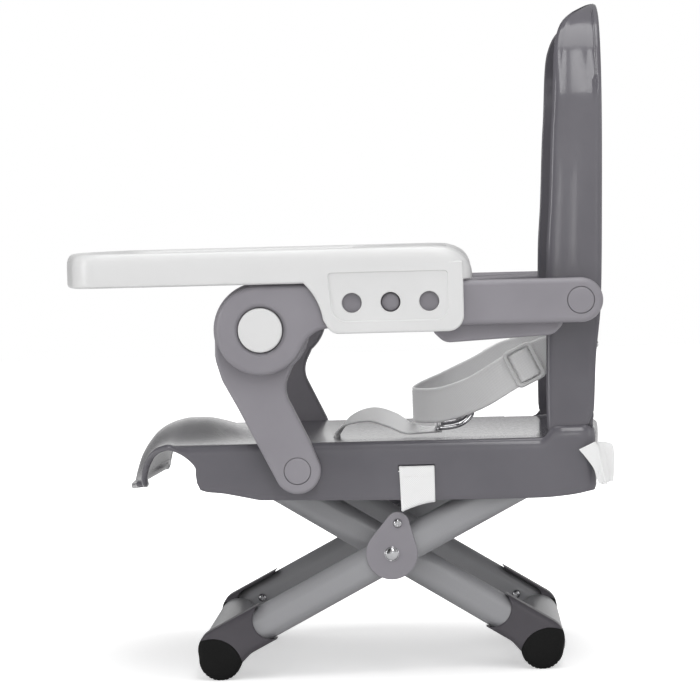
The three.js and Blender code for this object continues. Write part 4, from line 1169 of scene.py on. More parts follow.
def backrest_half(side):
    """Half of the backrest's faces; the two halves share the middle line."""
    rows = wing_rows()
    last = len(arch_points)
    points, faces = [], []

    def column(make, start):
        first = len(points)
        for index in range(start, last):
            point = make(index)
            points.append(Vector((point.x, side * point.y, point.z)))
        return list(range(first, len(points)))

    wing = [column(lambda i, r=row: ring_point(i, *r), 0) for row in rows]
    for a, b in zip(wing, wing[1:]):
        faces += [(a[k], a[k + 1], b[k + 1], b[k]) for k in range(last - 1)]
    inside, outside = wing[0], wing[-1]
    faces += [(inside[k], inside[k + 1], outside[k + 1], outside[k]) for k in range(panel_start)]
    faces.append(tuple(ring[0] for ring in wing))
    front_rings, rear_rings = [inside[panel_start:]], [outside[panel_start:]]
    for inset, lift in panel_insets:
        front_rings.append(
            column(lambda i: ring_point(i, inset * MM, "panel", 3) - Vector((lift * MM, 0, 0)), panel_start)
        )
        rear_rings.append(column(lambda i: ring_point(i, inset * MM, "rear", recess / MM), panel_start))
    for share in (0.12, 0.28, 0.46, 0.64, 0.82, 1):
        def panel_point(i, kind):
            place = panel_place(i, share)
            z = place.y
            rear = depth_at(rear_shares, z) - recess
            x = rear if kind == "rear" else min(depth_at(panel_shares, z), rear - panel_wall)
            return Vector((x, place.x, z))
        front_rings.append(column(lambda i: panel_point(i, "front"), panel_start))
        rear_rings.append(column(lambda i: panel_point(i, "rear"), panel_start))
    for rings in (front_rings, rear_rings):
        for a, b in zip(rings, rings[1:]):
            faces += [(a[k], a[k + 1], b[k + 1], b[k]) for k in range(len(a) - 1)]
    for k in range(len(front_rings) - 1):
        a, b, c, d = front_rings[k][0], front_rings[k + 1][0], rear_rings[k + 1][0], rear_rings[k][0]
        faces.append((a, b, c, d))
    return points, faces


def backrest_moulding():
    points, faces = [], []
    for _, side in SIDES:
        half_points, half_faces = backrest_half(side)
        shift = len(points)
        points += half_points
        faces += [tuple(i + shift for i in face) for face in half_faces]
    return finished_mesh("backrest_moulding", points, faces, 50)


back_body = backrest_moulding()
print("backrest", len(back_body.vertices), "points")


# %% Backrest: belt slots, arm bosses and hinge rooms
belt_slot_y = 98 * MM
belt_slot_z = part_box("waist_belt")[1].z - webbing_width / 2
belt_slot_half = 15.5 * MM
belt_slot_gap = 1.2 * MM
boss_radius = 14 * MM
room_width, room_reach = 9.8 * MM, 45 * MM
room_low, room_high = 30 * MM, 16 * MM


def backrest_cutters():
    for _, side in SIDES:
        y = sorted((side * (belt_slot_y - belt_slot_gap), side * (belt_slot_y + belt_slot_gap)))
        low = (back_front - overcut, y[0], belt_slot_z - belt_slot_half)
        yield box_mesh("belt_slot", low, (back_front + back_depth, y[1], belt_slot_z + belt_slot_half))
        y = sorted((side * (wing_in - room_width), side * (wing_in + 0.02 * MM)))
        low = (BACK_HINGE.x - room_reach, y[0], BACK_HINGE.y - room_low)
        yield box_mesh("hinge_room", low, (BACK_HINGE.x + room_reach, y[1], BACK_HINGE.y + room_high))


def arm_boss(side):
    end, chamfer = STRUT_IN - play, 0.6 * MM
    profile = [(0, wing_in), (boss_radius, wing_in), (boss_radius, end - chamfer)]
    profile += [(boss_radius - chamfer, end), (0, end)]
    return lathe("boss", profile, ARM_PIVOT, side)


def slot_collar(side):
    """A raised lip round each belt slot, which keeps the webbing off the panel's edge."""
    def upright(reach, radius):
        return link((belt_slot_y, belt_slot_z - reach), radius, (belt_slot_y, belt_slot_z + reach), radius)

    hole = upright(14.3 * MM, 1.2 * MM)
    mesh = plate("collar", upright(12 * MM, 6 * MM), 0, 4 * MM, 1.2 * MM, [hole])
    front = depth_at(panel_shares, belt_slot_z)
    lean = math.atan2(depth_at(panel_shares, belt_slot_z + 15 * MM) - front, 15 * MM)
    for vertex in mesh.vertices:
        x, y, z = vertex.co
        vertex.co = (front - 1.2 * MM + y + (z - belt_slot_z) * math.tan(lean), side * x, z)
    return mesh


back_open = carved("backrest_moulding", back_body, list(backrest_cutters()), sharp=50)
back_parts = [make(side) for _, side in SIDES for make in (arm_boss, slot_collar)]
back_mesh = joined("backrest_moulding", back_open, *back_parts)
backrest = piece(
    "backrest_moulding", back_mesh, "seat_plastic", "backrest", "backrest_shell", flat_faces=False
)
print("backrest", len(backrest.data.polygons), "faces")

# %% [markdown]
# The rear cover.
#
# A separate panel closes the hollow behind the backrest. The photograph doesn't show it,
# so it is plain: an inset arch with a soft edge and a shallow field, held by four screws.

# %% Rear cover
COVER_LOW, COVER_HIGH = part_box("backrest_rear_cover")
cover_half = COVER_HIGH.y
cover_shares = [(0.1, 0.74), (0.274, 0.835), (0.512, 0.89), (0.774, 0.915), (0.94, 0.92)]
cover_radius = back_top_radius - 9.3 * MM
cover_foot = 10 * MM
cover_skin = 1.4 * MM
field_inset, field_sunk = 14.5 * MM, 0.9 * MM
cover_rings = [
    (2.2, 2.4), (0.8, 2.4), (0.15, 2.0), (0, 1.2), (0.25, 0.5), (0.9, 0.1), (1.8, 0), (10, 0), (12, 0.5),
    (13, 0.8), (14.5, 0.9),
]


def rear_cover():
    radii = (cover_foot, cover_foot, cover_radius, cover_radius)
    corners = four_corners((-cover_half, COVER_LOW.z), (cover_half, COVER_HIGH.z), *radii)
    dense = even_steps(rounded(corners, 24), 8 * MM)
    rings = []
    for inset, sunk in cover_rings:
        loop = inset_loop(dense, inset * MM)
        rings.append([Vector((depth_at(cover_shares, p.y) - sunk * MM, p.x, p.y)) for p in loop])
    low, high = COVER_LOW.z + 30 * MM, COVER_HIGH.z - cover_half * 0.9
    middle_line = [Vector((0, min(high, max(low, p.y)))) for p in dense]
    for share in (0.35, 0.7, 1):
        loop = [p.lerp(q, share) for p, q in zip(inset_loop(dense, field_inset), middle_line)]
        rings.append([Vector((depth_at(cover_shares, p.y) - field_sunk, p.x, p.y)) for p in loop])
    back = [[Vector((p.x - cover_skin, p.y, p.z)) for p in ring] for ring in rings[:0:-4]]
    return loft("rear_cover_panel", rings + back + [rings[0]], caps=False)


piece("rear_cover_panel", rear_cover(), "seat_plastic", "backrest", "backrest_rear_cover", flat_faces=False)


def pan_screw(name, place, axis, radius, finish, body):
    """A small pan head screw with a cross recess, its head facing along axis."""
    profile = [(0, 1.1), (0.45, 1.05), (0.8, 0.75), (1, 0.25), (1, -0.6), (0, -0.6)]
    mesh = lathe(name, [(r * radius, h * radius * 0.6) for r, h in profile], (0, 0), 1, 32)
    arm = radius * 0.62
    wide = radius * 0.16
    cuts = [
        box_mesh("recess", (-a, 0.22 * radius, -b), (a, radius * 2, b), 0.05 * radius)
        for a, b in ((arm, wide), (wide, arm))
    ]
    mesh = carved(name, mesh, cuts)
    turn = Vector((0, 1, 0)).rotation_difference(Vector(axis)).to_matrix().to_4x4()
    mesh.transform(Matrix.Translation(place) @ turn)
    return piece(name, mesh, finish, body)


cover_screw_radius = 2.6 * MM
cover_screw_y = cover_half - 6.5 * MM
upper_row, lower_row = COVER_HIGH.z - 62 * MM, COVER_LOW.z + 20 * MM
for row, z in (("upper", upper_row), ("lower", lower_row)):
    for label, side in SIDES:
        name = f"rear_cover_screw_{row}_{label}"
        place = Vector((depth_at(cover_shares, z) - 0.1 * MM, side * cover_screw_y, z))
        pan_screw(name, place, (1, 0, 0), cover_screw_radius, "chrome_steel", "backrest")
print("rear cover and its screws placed")

# %% [markdown]
# The arms and struts.
#
# Each arm is two moulded halves. The outer half carries the big knee disc and a long bar,
# and runs into the disc with a soft curve. The strut's head sits behind the disc, and the
# strut is bent forward below it. All are plates with well rounded edges, so one helper
# makes them, and the pivots come straight from the frame.

# %% Arms: outlines
knee_disc = 31 * MM
arm_end = 15.3 * MM
hollow = 22 * MM
lining_size = (94 * MM, 40.8 * MM)
lining_end = 14 * MM
strut_foot, strut_head = 16 * MM, 33 * MM


def arm_outline():
    """The disc, the soft hollow under it, and the bar with its round end."""
    low = ARM_PIVOT.y - arm_end
    centre_z = low - hollow
    reach = math.sqrt((knee_disc + hollow) ** 2 - (KNEE.y - centre_z) ** 2)
    centre = (KNEE.x + reach, centre_z)
    meets = math.degrees(math.atan2(KNEE.y - centre_z, -reach))
    leaves = math.degrees(math.atan2(centre_z - KNEE.y, reach))
    disc = arc(KNEE, knee_disc, 90, 360 + leaves, 72)
    return disc + arc(centre, hollow, meets, 90, 14)[1:] + arc(ARM_PIVOT, arm_end, -90, 90, 30)


def arm_lining_outline():
    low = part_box("arm_inner_left")[0]
    length, height = lining_size
    shares = [(0.01, 1, 0.1), (0, 0.2, 0.2), (0.09, 0, 0.25), (0.885, 0.09, 0.25), (1, 0.36, 0.15)]
    corners = [(low.x + a * length, low.z + b * height, c * height) for a, b, c in shares]
    return rounded(corners) + arc(ARM_PIVOT, lining_end, -60, 90, 20)


def strut_outline():
    """The head's arc, a waist at each side and the round foot."""
    rise, lean = KNEE.y - STRUT_PIVOT.y, STRUT_PIVOT.x - KNEE.x

    def at(a, b, radius):
        return (STRUT_PIVOT.x + a * lean, STRUT_PIVOT.y + b * rise, radius)

    foot = arc(STRUT_PIVOT, strut_foot, -153, 27, 30)
    head = arc(KNEE, strut_head, -50, 192, 56)
    back = [at(0.4, 0.21, 30 * MM), at(-0.38, 0.58, 20 * MM)]
    front = [at(-2.44, 0.8, 20 * MM), at(-2.25, 0.65, 30 * MM), at(-1.8, 0.46, 60 * MM)]
    back = rounded([tuple(foot[-1]), *back, tuple(head[0])])[1:-1]
    front = rounded([tuple(head[-1]), *front, tuple(foot[0])])[1:-1]
    return foot + back + head + front


# %% Arms: casings, linings, struts and caps
bore = 15.5 * MM
bore_floor = 2.5 * MM
cap_radius = 9.2 * MM
cap_depth = 2.1 * MM
cap_wall = 1.6 * MM
cap_shaft = 5 * MM
catch_bore = 6.7 * MM
casing_edge, lining_edge, strut_edge = 3.6 * MM, 2.4 * MM, 2.6 * MM


def lathed_cap(name, centre, side, inner, outer, crown):
    """A pin with a low crowned cap, turned about an axis across the seat."""
    profile = [(0, inner), (cap_shaft, inner), (cap_shaft, outer - cap_wall), (cap_radius, outer - cap_wall)]
    profile += [
        (cap_radius, outer - 0.6 * MM), (cap_radius - 0.2 * MM, outer - 0.2 * MM),
        (cap_radius - 0.6 * MM, outer),
    ]
    profile += [(cap_radius * s, outer + crown * (1 - s * s)) for s in (0.8, 0.55, 0.3, 0)]
    return lathe(name, profile, centre, side)


def cap_well(centre, side, face):
    """A cutter for the round well that a cap sits in."""
    return round_block(centre, cap_radius + play, side, face - cap_depth, face + overcut)


def add_arm(label, side):
    body, name = f"arm_{label}", f"arm_casing_{label}"
    casing = plate(
        name, arm_outline(), side * ARM_IN, side * ARM_OUT, casing_edge, [circle(KNEE, bore, 72)], steps=7
    )
    catch_well = round_block(CATCH, catch_bore, side, ARM_IN - 2 * MM, ARM_OUT + overcut)
    casing = carved(name, casing, [cap_well(ARM_PIVOT, side, ARM_OUT), catch_well], sharp=32)
    floor = round_block(KNEE, bore + 0.5 * MM, side, ARM_IN + 0.2 * MM, ARM_IN + bore_floor, 48)
    piece(name, joined(name, casing, floor), "arm_plastic", body, f"arm_outer_{label}")
    name = f"arm_lining_{label}"
    lining = plate(name, arm_lining_outline(), side * STRUT_IN, side * (ARM_IN - play), lining_edge, steps=5)
    piece(name, lining, "arm_plastic", body, f"arm_inner_{label}")
    name = f"arm_pivot_cap_{label}"
    cap = lathed_cap(name, ARM_PIVOT, side, wing_in, ARM_OUT, 0.55 * MM)
    piece(name, cap, "arm_plastic", body, f"arm_pivot_pin_{label}")


def add_strut(label, side):
    body, name = f"strut_{label}", f"strut_link_{label}"
    strut = plate(name, strut_outline(), side * STRUT_IN, side * STRUT_OUT, strut_edge, steps=6)
    strut = carved(name, strut, [cap_well(STRUT_PIVOT, side, STRUT_OUT)], sharp=32)
    piece(name, strut, "arm_plastic", body, f"strut_{label}")
    name = f"strut_pivot_cap_{label}"
    cap = lathed_cap(name, STRUT_PIVOT, side, skirt_in, STRUT_OUT, 0.28 * MM)
    piece(name, cap, "arm_plastic", body, f"strut_pivot_pin_{label}")


on_both_sides(add_arm, add_strut)
print("arms and struts placed")

# %% [markdown]
# The knee buttons and the tray catches.
#
# A white button fills the middle of each knee disc and is pressed in to free the fold. It
# is a turned cap with a faint crown, over a coil spring in its bore. The tray's catch is a
# small dome that stands in the middle one of the bracket's three holes.

# %% Buttons, springs and catches
def coil(name, centre, side, start, end, radius, wire, turns):
    rings = []
    angles = [math.pi * k / 4 for k in range(8)]
    steps = 20 * turns
    for i in range(steps + 1):
        a = 2 * math.pi * i / 20
        out = Vector((math.cos(a), 0, math.sin(a)))
        y = side * lerp(start + wire, end - wire, i / steps)
        place = Vector((centre[0], y, centre[1])) + out * radius
        rings.append(
            [place + out * (wire * math.cos(b)) + Vector((0, wire * math.sin(b), 0)) for b in angles]
        )
    return loft(name, rings)


button_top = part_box("knee_button_right")[1].y
button_radius = 15.2 * MM
button_wall = 9.6 * MM
button_length = 9 * MM
button_floor = 2 * MM
button_rim = [(15.2, -1.3), (15.05, -0.7), (14.6, -0.25), (13.9, -0.05)]
spring_radius, spring_wire, spring_turns = 7.2 * MM, 0.75 * MM, 5
spring_low, spring_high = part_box("knee_spring_right")
dome_radius = 6.4 * MM
dome_flange = 8 * MM
dome_rise = 1.3 * MM
DOME_ANGLES = [math.radians(d) for d in (15, 30, 45, 60, 75)]


def add_button(label, side):
    name = f"knee_push_button_{label}"
    low = button_top - button_length
    profile = [(button_wall, low), (button_radius, low)]
    profile += [(r * MM, button_top + y * MM) for r, y in button_rim]
    profile += [(button_radius * s, button_top - 0.05 * MM * s) for s in (0.8, 0.6, 0.4, 0.2, 0)]
    profile += [(0, button_top - button_floor), (button_wall, button_top - button_floor)]
    button = lathe(name, profile, KNEE, side, 72)
    node = f"knee_button_{label}"
    piece(name, button, "white_plastic", node, node)


def add_spring(label, side):
    name = f"knee_coil_spring_{label}"
    low, high = spring_low.y, spring_high.y
    spring = coil(name, KNEE, side, low, high, spring_radius, spring_wire, spring_turns)
    spring = piece(name, spring, "chrome_steel", f"arm_{label}", f"knee_spring_{label}", flat_faces=False)
    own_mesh(spring)


def add_catch(label, side):
    name = f"tray_catch_dome_{label}"
    flange_in, flange_out, shoulder = ARM_OUT - 6.3 * MM, ARM_OUT - 2.8 * MM, ARM_OUT - 0.3 * MM
    dome = [(0, flange_in), (dome_flange, flange_in), (dome_flange, flange_out), (dome_radius, flange_out)]
    dome.append((dome_radius, shoulder))
    dome += [(dome_radius * math.cos(a), shoulder + dome_rise * math.sin(a)) for a in DOME_ANGLES]
    dome.append((0, ARM_OUT + 1 * MM))
    catch = f"tray_catch_{label}"
    piece(name, lathe(name, dome, CATCH, side, 48), "arm_plastic", catch, catch)


on_both_sides(add_button, add_spring, add_catch)
print("buttons and catches placed")

# %% [markdown]
# The tray.
#
# A white hollow moulding with a bowed front, a raised rim and a bay for the child. Its
# plan is drawn once as a function of how far in it lies, and each ring of the surface is
# that plan at a height, so the rim and every edge follow the outline exactly. The brackets
# are plates joined to the sides by a boolean union, with the field and holes cut from them.

# %% Tray: the plan
tray_front, tray_rear = TRAY_LOW.x + 4.75 * MM, TRAY_HIGH.x
tray_half = TRAY_HIGH.y
tray_top = TRAY_HIGH.z
tray_bottom = tray_top - 23.6 * MM
tray_bow = 19 * MM
tray_corner = 34 * MM
belly_depth = 78 * MM
belly_half = tray_half - 40.3 * MM


def tray_plan(inset):
    """The tray from above, drawn in by an even distance: front, side, bay and far side."""
    half = tray_half - inset
    straight = half - tray_corner
    across = [straight * (2 * i / 24 - 1) for i in range(25)]
    front = [Vector((tray_front + inset + tray_bow * (y / half) ** 2, y)) for y in across]
    rear = tray_rear - inset
    bay_half = belly_half + inset
    tip = max(2 * MM, min(17 * MM, (half - bay_half) * 0.5) - 0.2 * MM)
    corner = (tray_front + inset + tray_bow, half, tray_corner - 0.4 * inset)
    side = rounded([tuple(front[-1]), corner, (rear, half, tip), (rear, bay_half, tip)], 9)[1:]
    filled = []
    for a, b in zip(side, side[1:]):
        steps = 24 if (b - a).length > 100 * MM else 1
        filled += [a.lerp(b, i / steps) for i in range(steps)]
    side = filled + [side[-1]]
    bay = []
    for i in range(1, 32):
        share = 1 - 2 * i / 32
        bay.append(Vector((rear - belly_depth * math.cos(share * math.pi / 2) ** 0.62, share * bay_half)))
    return front + side + bay + [Vector((p.x, -p.y)) for p in reversed(side)]


def roll_off(x):
    """How much of the tray's height is left at a place along it: its rear end rolls down."""
    start = tray_rear - 26 * MM
    t = min(1, max(0, (x - start) / (tray_rear - start)))
    return 0.28 + 0.72 * math.sqrt(1 - t * t)


tray_rings = [
    (14, 9), (4.4, 9), (4.0, 8.6), (4.0, 1.2), (3.4, 0.3), (2.4, 0), (1.2, 0.3), (0.35, 1.1), (0, 2.6),
    (0, 9), (0, 15.5), (0.25, 18.2), (0.9, 20.4), (2.0, 22.2), (3.4, 23.2), (5.0, 23.6), (7.0, 23.5),
    (8.6, 22.9), (9.8, 21.6), (10.7, 19.9), (11.8, 18.3), (13.4, 17.2), (15.6, 16.7), (18, 16.6),
]


# %% Tray: the closed moulding
def tray_body():
    points = []
    count = len(tray_plan(0))
    for inset, rise in tray_rings:
        for p in tray_plan(inset * MM):
            points.append(Vector((p.x, p.y, tray_bottom + rise * MM * roll_off(p.x))))
    faces = ring_faces(len(tray_rings) - 1, count)
    for ring in (range(count), range(len(points) - count, len(points))):
        level = [Vector((points[i].x, points[i].y, 0)) for i in ring]
        faces += [tuple(ring[k] for k in corner) for corner in tessellate_polygon([level])]
    return finished_mesh("tray_body", points, faces, 32)


# %% Tray: outlines of the brackets
bracket_low = TRAY_LOW.z
bracket_rear = tray_rear - 6.2 * MM
bracket_hug = 44 * MM
bracket_in = tray_half - 4 * MM
bracket_corner = 11 * MM
hole_pitch = 26.5 * MM


def bracket_outline():
    top = tray_bottom + 13 * MM
    start = math.degrees(math.asin((tray_bottom + 3 * MM - KNEE.y) / bracket_hug))
    hug = arc(KNEE, bracket_hug, start, 8, 12)
    front_corner = (KNEE.x + bracket_hug + 5 * MM, bracket_low, bracket_corner)
    rear_corner = (bracket_rear, bracket_low, bracket_corner)
    low = rounded([tuple(hug[-1]), front_corner, rear_corner, (bracket_rear, top)], 10)
    return [Vector((hug[0].x - 1.5 * MM, top))] + hug[:-1] + low


def field_outline():
    front, rear = KNEE.x + bracket_hug + 6 * MM, bracket_rear - 10.5 * MM
    low, high = bracket_low + 8 * MM, tray_bottom + 7 * MM
    corners = [(front, low, bracket_corner), (rear, low, 9 * MM), (rear, high, 2.5 * MM)]
    return rounded([*corners, (front - 3 * MM, high, 2.5 * MM)], 10)


# %% Tray: brackets, holes and ribs
bracket_sunk = 0.9 * MM
hole_radius, hole_mouth = 6.8 * MM, 7.2 * MM
hole_chamfer = 0.4 * MM
rail_half = 2.5 * MM


def bracket_hole(step, side):
    """A cutter for one of the bracket's holes, with a chamfered mouth in the sunk field."""
    inner, face, outer = bracket_in - 3 * MM, tray_half - bracket_sunk, tray_half + 3 * MM
    profile = [(0, inner), (hole_radius, inner), (hole_radius, face - hole_chamfer)]
    profile += [(hole_mouth, face), (hole_mouth, outer), (0, outer)]
    return lathe("hole", profile, (CATCH.x + step * hole_pitch, CATCH.y), side, 56)


def tray_rail(side):
    """A rib under the tray that stands just above the arm."""
    middle_y = 0.5 * (ARM_IN + ARM_OUT)
    inner, outer = sorted((side * (middle_y - rail_half), side * (middle_y + rail_half)))
    low = (CATCH.x - 90 * MM, inner, ARM_PIVOT.y + arm_end + 0.6 * MM)
    return box_mesh("rail", low, (CATCH.x + 38 * MM, outer, tray_bottom + 9.5 * MM))


brackets = [
    plate("bracket", bracket_outline(), side * bracket_in, side * tray_half, 1.4 * MM)
    for _, side in SIDES
]
tray_mesh = carved("tray_moulding", tray_body(), brackets, "UNION", 32)
fields = [
    plate("field", field_outline(), side * (tray_half - bracket_sunk), side * (tray_half + 8 * MM), 0.7 * MM)
    for _, side in SIDES
]
holes = [bracket_hole(step, side) for _, side in SIDES for step in (-1, 0, 1)]
tray_mesh = carved("tray_moulding", tray_mesh, fields + holes, sharp=32)
rails = [tray_rail(side) for _, side in SIDES]
tray = piece("tray_moulding", joined("tray_moulding", tray_mesh, *rails), "white_plastic", "tray", "tray")
print("tray", len(tray.data.polygons), "faces")

# %% [markdown]
# The legs.
#
# Two pairs of oval tubes cross at the hub. A leg is drawn along its own line in the side
# view: u runs up it from the foot, and n stands off it. The shoe at its end is a rounded
# block with a round mouth for the tube, and a cylinder splits it into shell and rubber.

# %% Legs: the line of a leg
tube_height = 24.6 * MM
tube_wall = 1.6 * MM
tube_edge = 0.4 * MM
foot_radius = 15 * MM
foot_flat = 0.4 * MM
foot_drop = 7 * MM
tube_seat = 5 * MM
screw_place = 21.5 * MM
shoe_screw_radius = 3.2 * MM
channel_half = 12.3 * MM
cross_lift = 2 * MM
tube_overhang = 9 * MM
shoe_half = 13.7 * MM
shoe_tip = 41.6 * MM
scallop = 14.4 * MM
mouth_chamfer = 0.9 * MM
channel_corner = 8 * MM
beyond_shoe = 30 * MM
scallop_back = math.sqrt(scallop ** 2 - shoe_half ** 2)
sole_radius = 21 * MM
shell_edge, rubber_edge = 4.6 * MM, 4.4 * MM
sole_place = Vector((-5.5, -6.5)) * MM
rivet_hole = 4.3 * MM
groove_radius = 0.75 * MM


class LegLine:
    """The middle line of a leg in the side view, and the layers that its parts take up."""

    def __init__(self, name, pivot, way, pin):
        self.name, self.pivot, self.way, self.pin = name, pivot, way, pin
        rise = pivot.y - HUB.y
        self.angle = math.atan2(rise, abs(pivot.x - HUB.x))
        self.cos, self.sin = math.cos(self.angle), math.sin(self.angle)
        self.reach = (HUB.y - (foot_radius - foot_flat) - foot_drop * self.cos) / self.sin
        self.top = self.reach + rise / self.sin + tube_overhang
        self.tube_in, self.tube_out = (corner.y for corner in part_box(f"{name}_tube_right"))
        self.shoe_in, self.shoe_out = (corner.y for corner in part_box(f"{name}_shoe_right"))

    def at(self, u, n):
        along = self.reach - u
        x = along * self.cos + (n - foot_drop) * self.sin
        return Vector((HUB.x + self.way * x, HUB.y - along * self.sin + (n - foot_drop) * self.cos))

    def oval(self, side, u, inset):
        """A ring round the tube: two half rounds joined by short flats."""
        half = (self.tube_out - self.tube_in) / 2
        ring = []
        for start, lift in ((0, tube_height / 2 - half), (180, half - tube_height / 2)):
            for p in arc((0, lift), half - inset, start, start + 180, 18):
                place = self.at(u, foot_drop + p.y)
                ring.append(Vector((place.x, side * (self.tube_in + half + p.x), place.y)))
        return ring

    def shoe_outline(self):
        high, low = foot_drop + shoe_half, foot_drop - shoe_half
        lean = math.radians(40)
        heel = (foot_radius * math.cos(lean), -foot_radius * math.sin(lean))
        points = [Vector((shoe_tip, high)), Vector((shoe_tip, low))]
        points += rounded([(shoe_tip, low), (shoe_tip / 2, low, foot_radius), heel], 10)[1:-1]
        points += arc((0, 0), foot_radius, -40, -210, 40)
        points += rounded(
            [(-foot_radius, foot_drop / 2), (-foot_radius / 2, high, foot_radius), (shoe_tip, high)], 14
        )[1:-1]
        return [self.at(*p) for p in points]


LEGS = (
    LegLine("outer_leg", SLIDER, -1, 4.2 * MM),
    LegLine("inner_leg", LEG_PIVOT, 1, 5.2 * MM),
)
print("leg angles", [round(math.degrees(line.angle), 1) for line in LEGS])


# %% Legs: tubes and what cuts a shoe
def leg_tube(line, side):
    low, high = tube_seat + tube_edge, line.top - tube_edge
    ends = [(tube_seat, 0.5 * MM), (low, 0), (high, 0), (line.top, 0.5 * MM)]
    bore = [(line.top, 1.2 * MM), (high, tube_wall), (low, tube_wall), (tube_seat, 1.2 * MM)]
    mesh = loft("leg_tube", [line.oval(side, u, inset) for u, inset in ends + bore], looped=True)
    reach = (side, line.tube_in - overcut, line.tube_out + overcut)
    holes = [round_block(HUB, rivet_hole, *reach), round_block(line.pivot, line.pin, *reach)]
    return carved("leg_tube", mesh, holes)


def grounded(mesh):
    for vertex in mesh.vertices:
        vertex.co.z = max(0, vertex.co.z)
    return mesh


def shoe_cutters(line, side):
    mouth = line.at(shoe_tip + scallop_back, foot_drop)
    low, high = line.shoe_in, line.shoe_out
    wide = scallop + mouth_chamfer
    profile = [(0, low - overcut), (wide, low - overcut), (wide, low), (scallop, low + mouth_chamfer)]
    profile += [(scallop, high - mouth_chamfer), (wide, high), (wide, high + overcut), (0, high + overcut)]
    yield lathe("mouth", profile, mouth, side, 96)
    near, far = tube_seat - 2 * MM, shoe_tip + beyond_shoe
    yield loft("socket", [line.oval(side, u, -0.2 * MM) for u in (tube_seat - play, far)])
    under, over = foot_drop - channel_half, foot_drop + channel_half
    corners = four_corners((near, under), (far, over), channel_corner, 0, 0, channel_corner)
    channel = [line.at(*p) for p in rounded(corners, 10)]
    yield plate("channel", channel, side * (low - overcut), side * (line.tube_in + 6 * MM), 0.4 * MM, steps=2)


def tread(line, side):
    """Grooves across the rubber where it meets the floor."""
    foot = line.at(0, 0)
    for angle in range(-138, -41, 12):
        a = math.radians(angle)
        place = foot + Vector((math.cos(a), math.sin(a))) * (foot_radius + 0.1 * MM)
        yield round_block(place, groove_radius, side, line.shoe_in - overcut, line.shoe_out + overcut)


# %% Legs: all the parts of a leg
def add_leg(line, label, side):
    name, body = line.name, f"{line.name}_frame"
    reach = (side, line.shoe_in - overcut, line.shoe_out + overcut)
    sole = line.at(0, 0) + Vector((-line.way * sole_place.x, sole_place.y))

    def block(edge):
        shape = plate("shoe", line.shoe_outline(), side * line.shoe_in, side * line.shoe_out, edge, steps=8)
        return grounded(shape)

    cutters = [round_block(sole, sole_radius + play, *reach), *shoe_cutters(line, side)]
    shell = carved(f"{name}_shell_{label}", block(shell_edge), cutters, sharp=30)
    piece(f"{name}_shell_{label}", shell, "shoe_plastic", body, f"{name}_shoe_{label}")
    rubber = carved("rubber", block(rubber_edge), [round_block(sole, sole_radius, *reach)], "INTERSECT", 30)
    rubber = carved(f"{name}_rubber_{label}", rubber, list(tread(line, side)), sharp=30)
    piece(f"{name}_rubber_{label}", rubber, "black_rubber", body, f"{name}_foot_pad_{label}")
    piece(f"{name}_oval_tube_{label}", leg_tube(line, side), "painted_tube", body, f"{name}_tube_{label}")
    place = line.at(screw_place, foot_drop)
    place = Vector((place.x, side * line.tube_in, place.y))
    pan_screw(f"{name}_screw_{label}", place, (0, -side, 0), shoe_screw_radius, "chrome_steel", body)


def cross_tube(line):
    end, outer, inner = line.shoe_in - play, foot_radius - 0.3 * MM, foot_radius - 1.9 * MM
    rim = 0.4 * MM
    profile = [(inner, -end + rim), (inner + rim, -end), (outer - rim, -end), (outer, -end + rim)]
    profile += [(outer, end - rim), (outer - rim, end), (inner + rim, end), (inner, end - rim)]
    centre = line.at(0, 0) + Vector((line.way, 1)) * cross_lift
    return lathe(f"{line.name}_cross_bar", profile, centre, 1, 64)


for line in LEGS:
    for label, side in SIDES:
        add_leg(line, label, side)
    name = line.name
    piece(f"{name}_cross_bar", cross_tube(line), "painted_tube", f"{name}_frame", f"{name}_cross_tube")
print("legs placed")

# %% [markdown]
# The hub and the pins.
#
# A flat cover with a lobe closes each crossing. A domed chrome rivet holds the legs
# together, with a wide shoulder between them, and a cross head screw holds the lobe. Under
# the seat the inner legs turn on an axle and the outer legs slide in two slotted rails.

# %% Hub
cover_in, cover_out = (corner.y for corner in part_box("hub_cover_right"))
rivet_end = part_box("hub_rivet_right")[1].y
lobe_place = flat(middle("hub_screw_left"))
hub_radius = 18 * MM
lobe_radius = 8 * MM


def hub_rivet(label, side):
    """A rivet with a flared inner end, a wide shoulder between the legs and a domed head."""
    inner, outer = LEGS[1], LEGS[0]
    head = (cover_out + play) / MM
    tail = inner.tube_in / MM
    shoulder_in, shoulder_out = inner.tube_out / MM + 0.3, outer.tube_in / MM - 0.3
    crown = head + 0.3
    rise = rivet_end / MM - head - 0.3
    profile = [(0, tail - 1.6), (4.6, tail - 1.5), (5.8, tail - 1.1), (6, tail - 0.3), (4, tail - 0.2)]
    profile += [(4, shoulder_in), (9, shoulder_in), (9, shoulder_out), (4, shoulder_out)]
    profile += [(4, head), (5, head), (5, crown), (4.75, head + 0.45), (4.45, crown)]
    profile += [(4.45 * math.cos(a), crown + rise * math.sin(a)) for a in DOME_ANGLES]
    profile.append((0, rivet_end / MM))
    mesh = lathe(f"hub_rivet_{label}", [(r * MM, y * MM) for r, y in profile], HUB, side, 64)
    piece(f"hub_dome_rivet_{label}", mesh, "chrome_steel", "inner_leg_frame", f"hub_rivet_{label}")


def hub_cover(label, side):
    holes = [circle(HUB, rivet_hole), circle(lobe_place, 1.8 * MM)]
    outline = link(HUB, hub_radius, lobe_place, lobe_radius)
    cover = plate(f"hub_plate_{label}", outline, side * cover_in, side * cover_out, 0.6 * MM, holes)
    piece(f"hub_plate_{label}", cover, "arm_plastic", "outer_leg_frame", f"hub_cover_{label}")
    place = Vector((lobe_place.x, side * cover_out, lobe_place.y))
    screw = pan_screw(
        f"hub_cross_screw_{label}", place, (0, side, 0), 3.3 * MM, "chrome_steel", "outer_leg_frame"
    )
    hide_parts(f"hub_screw_{label}")


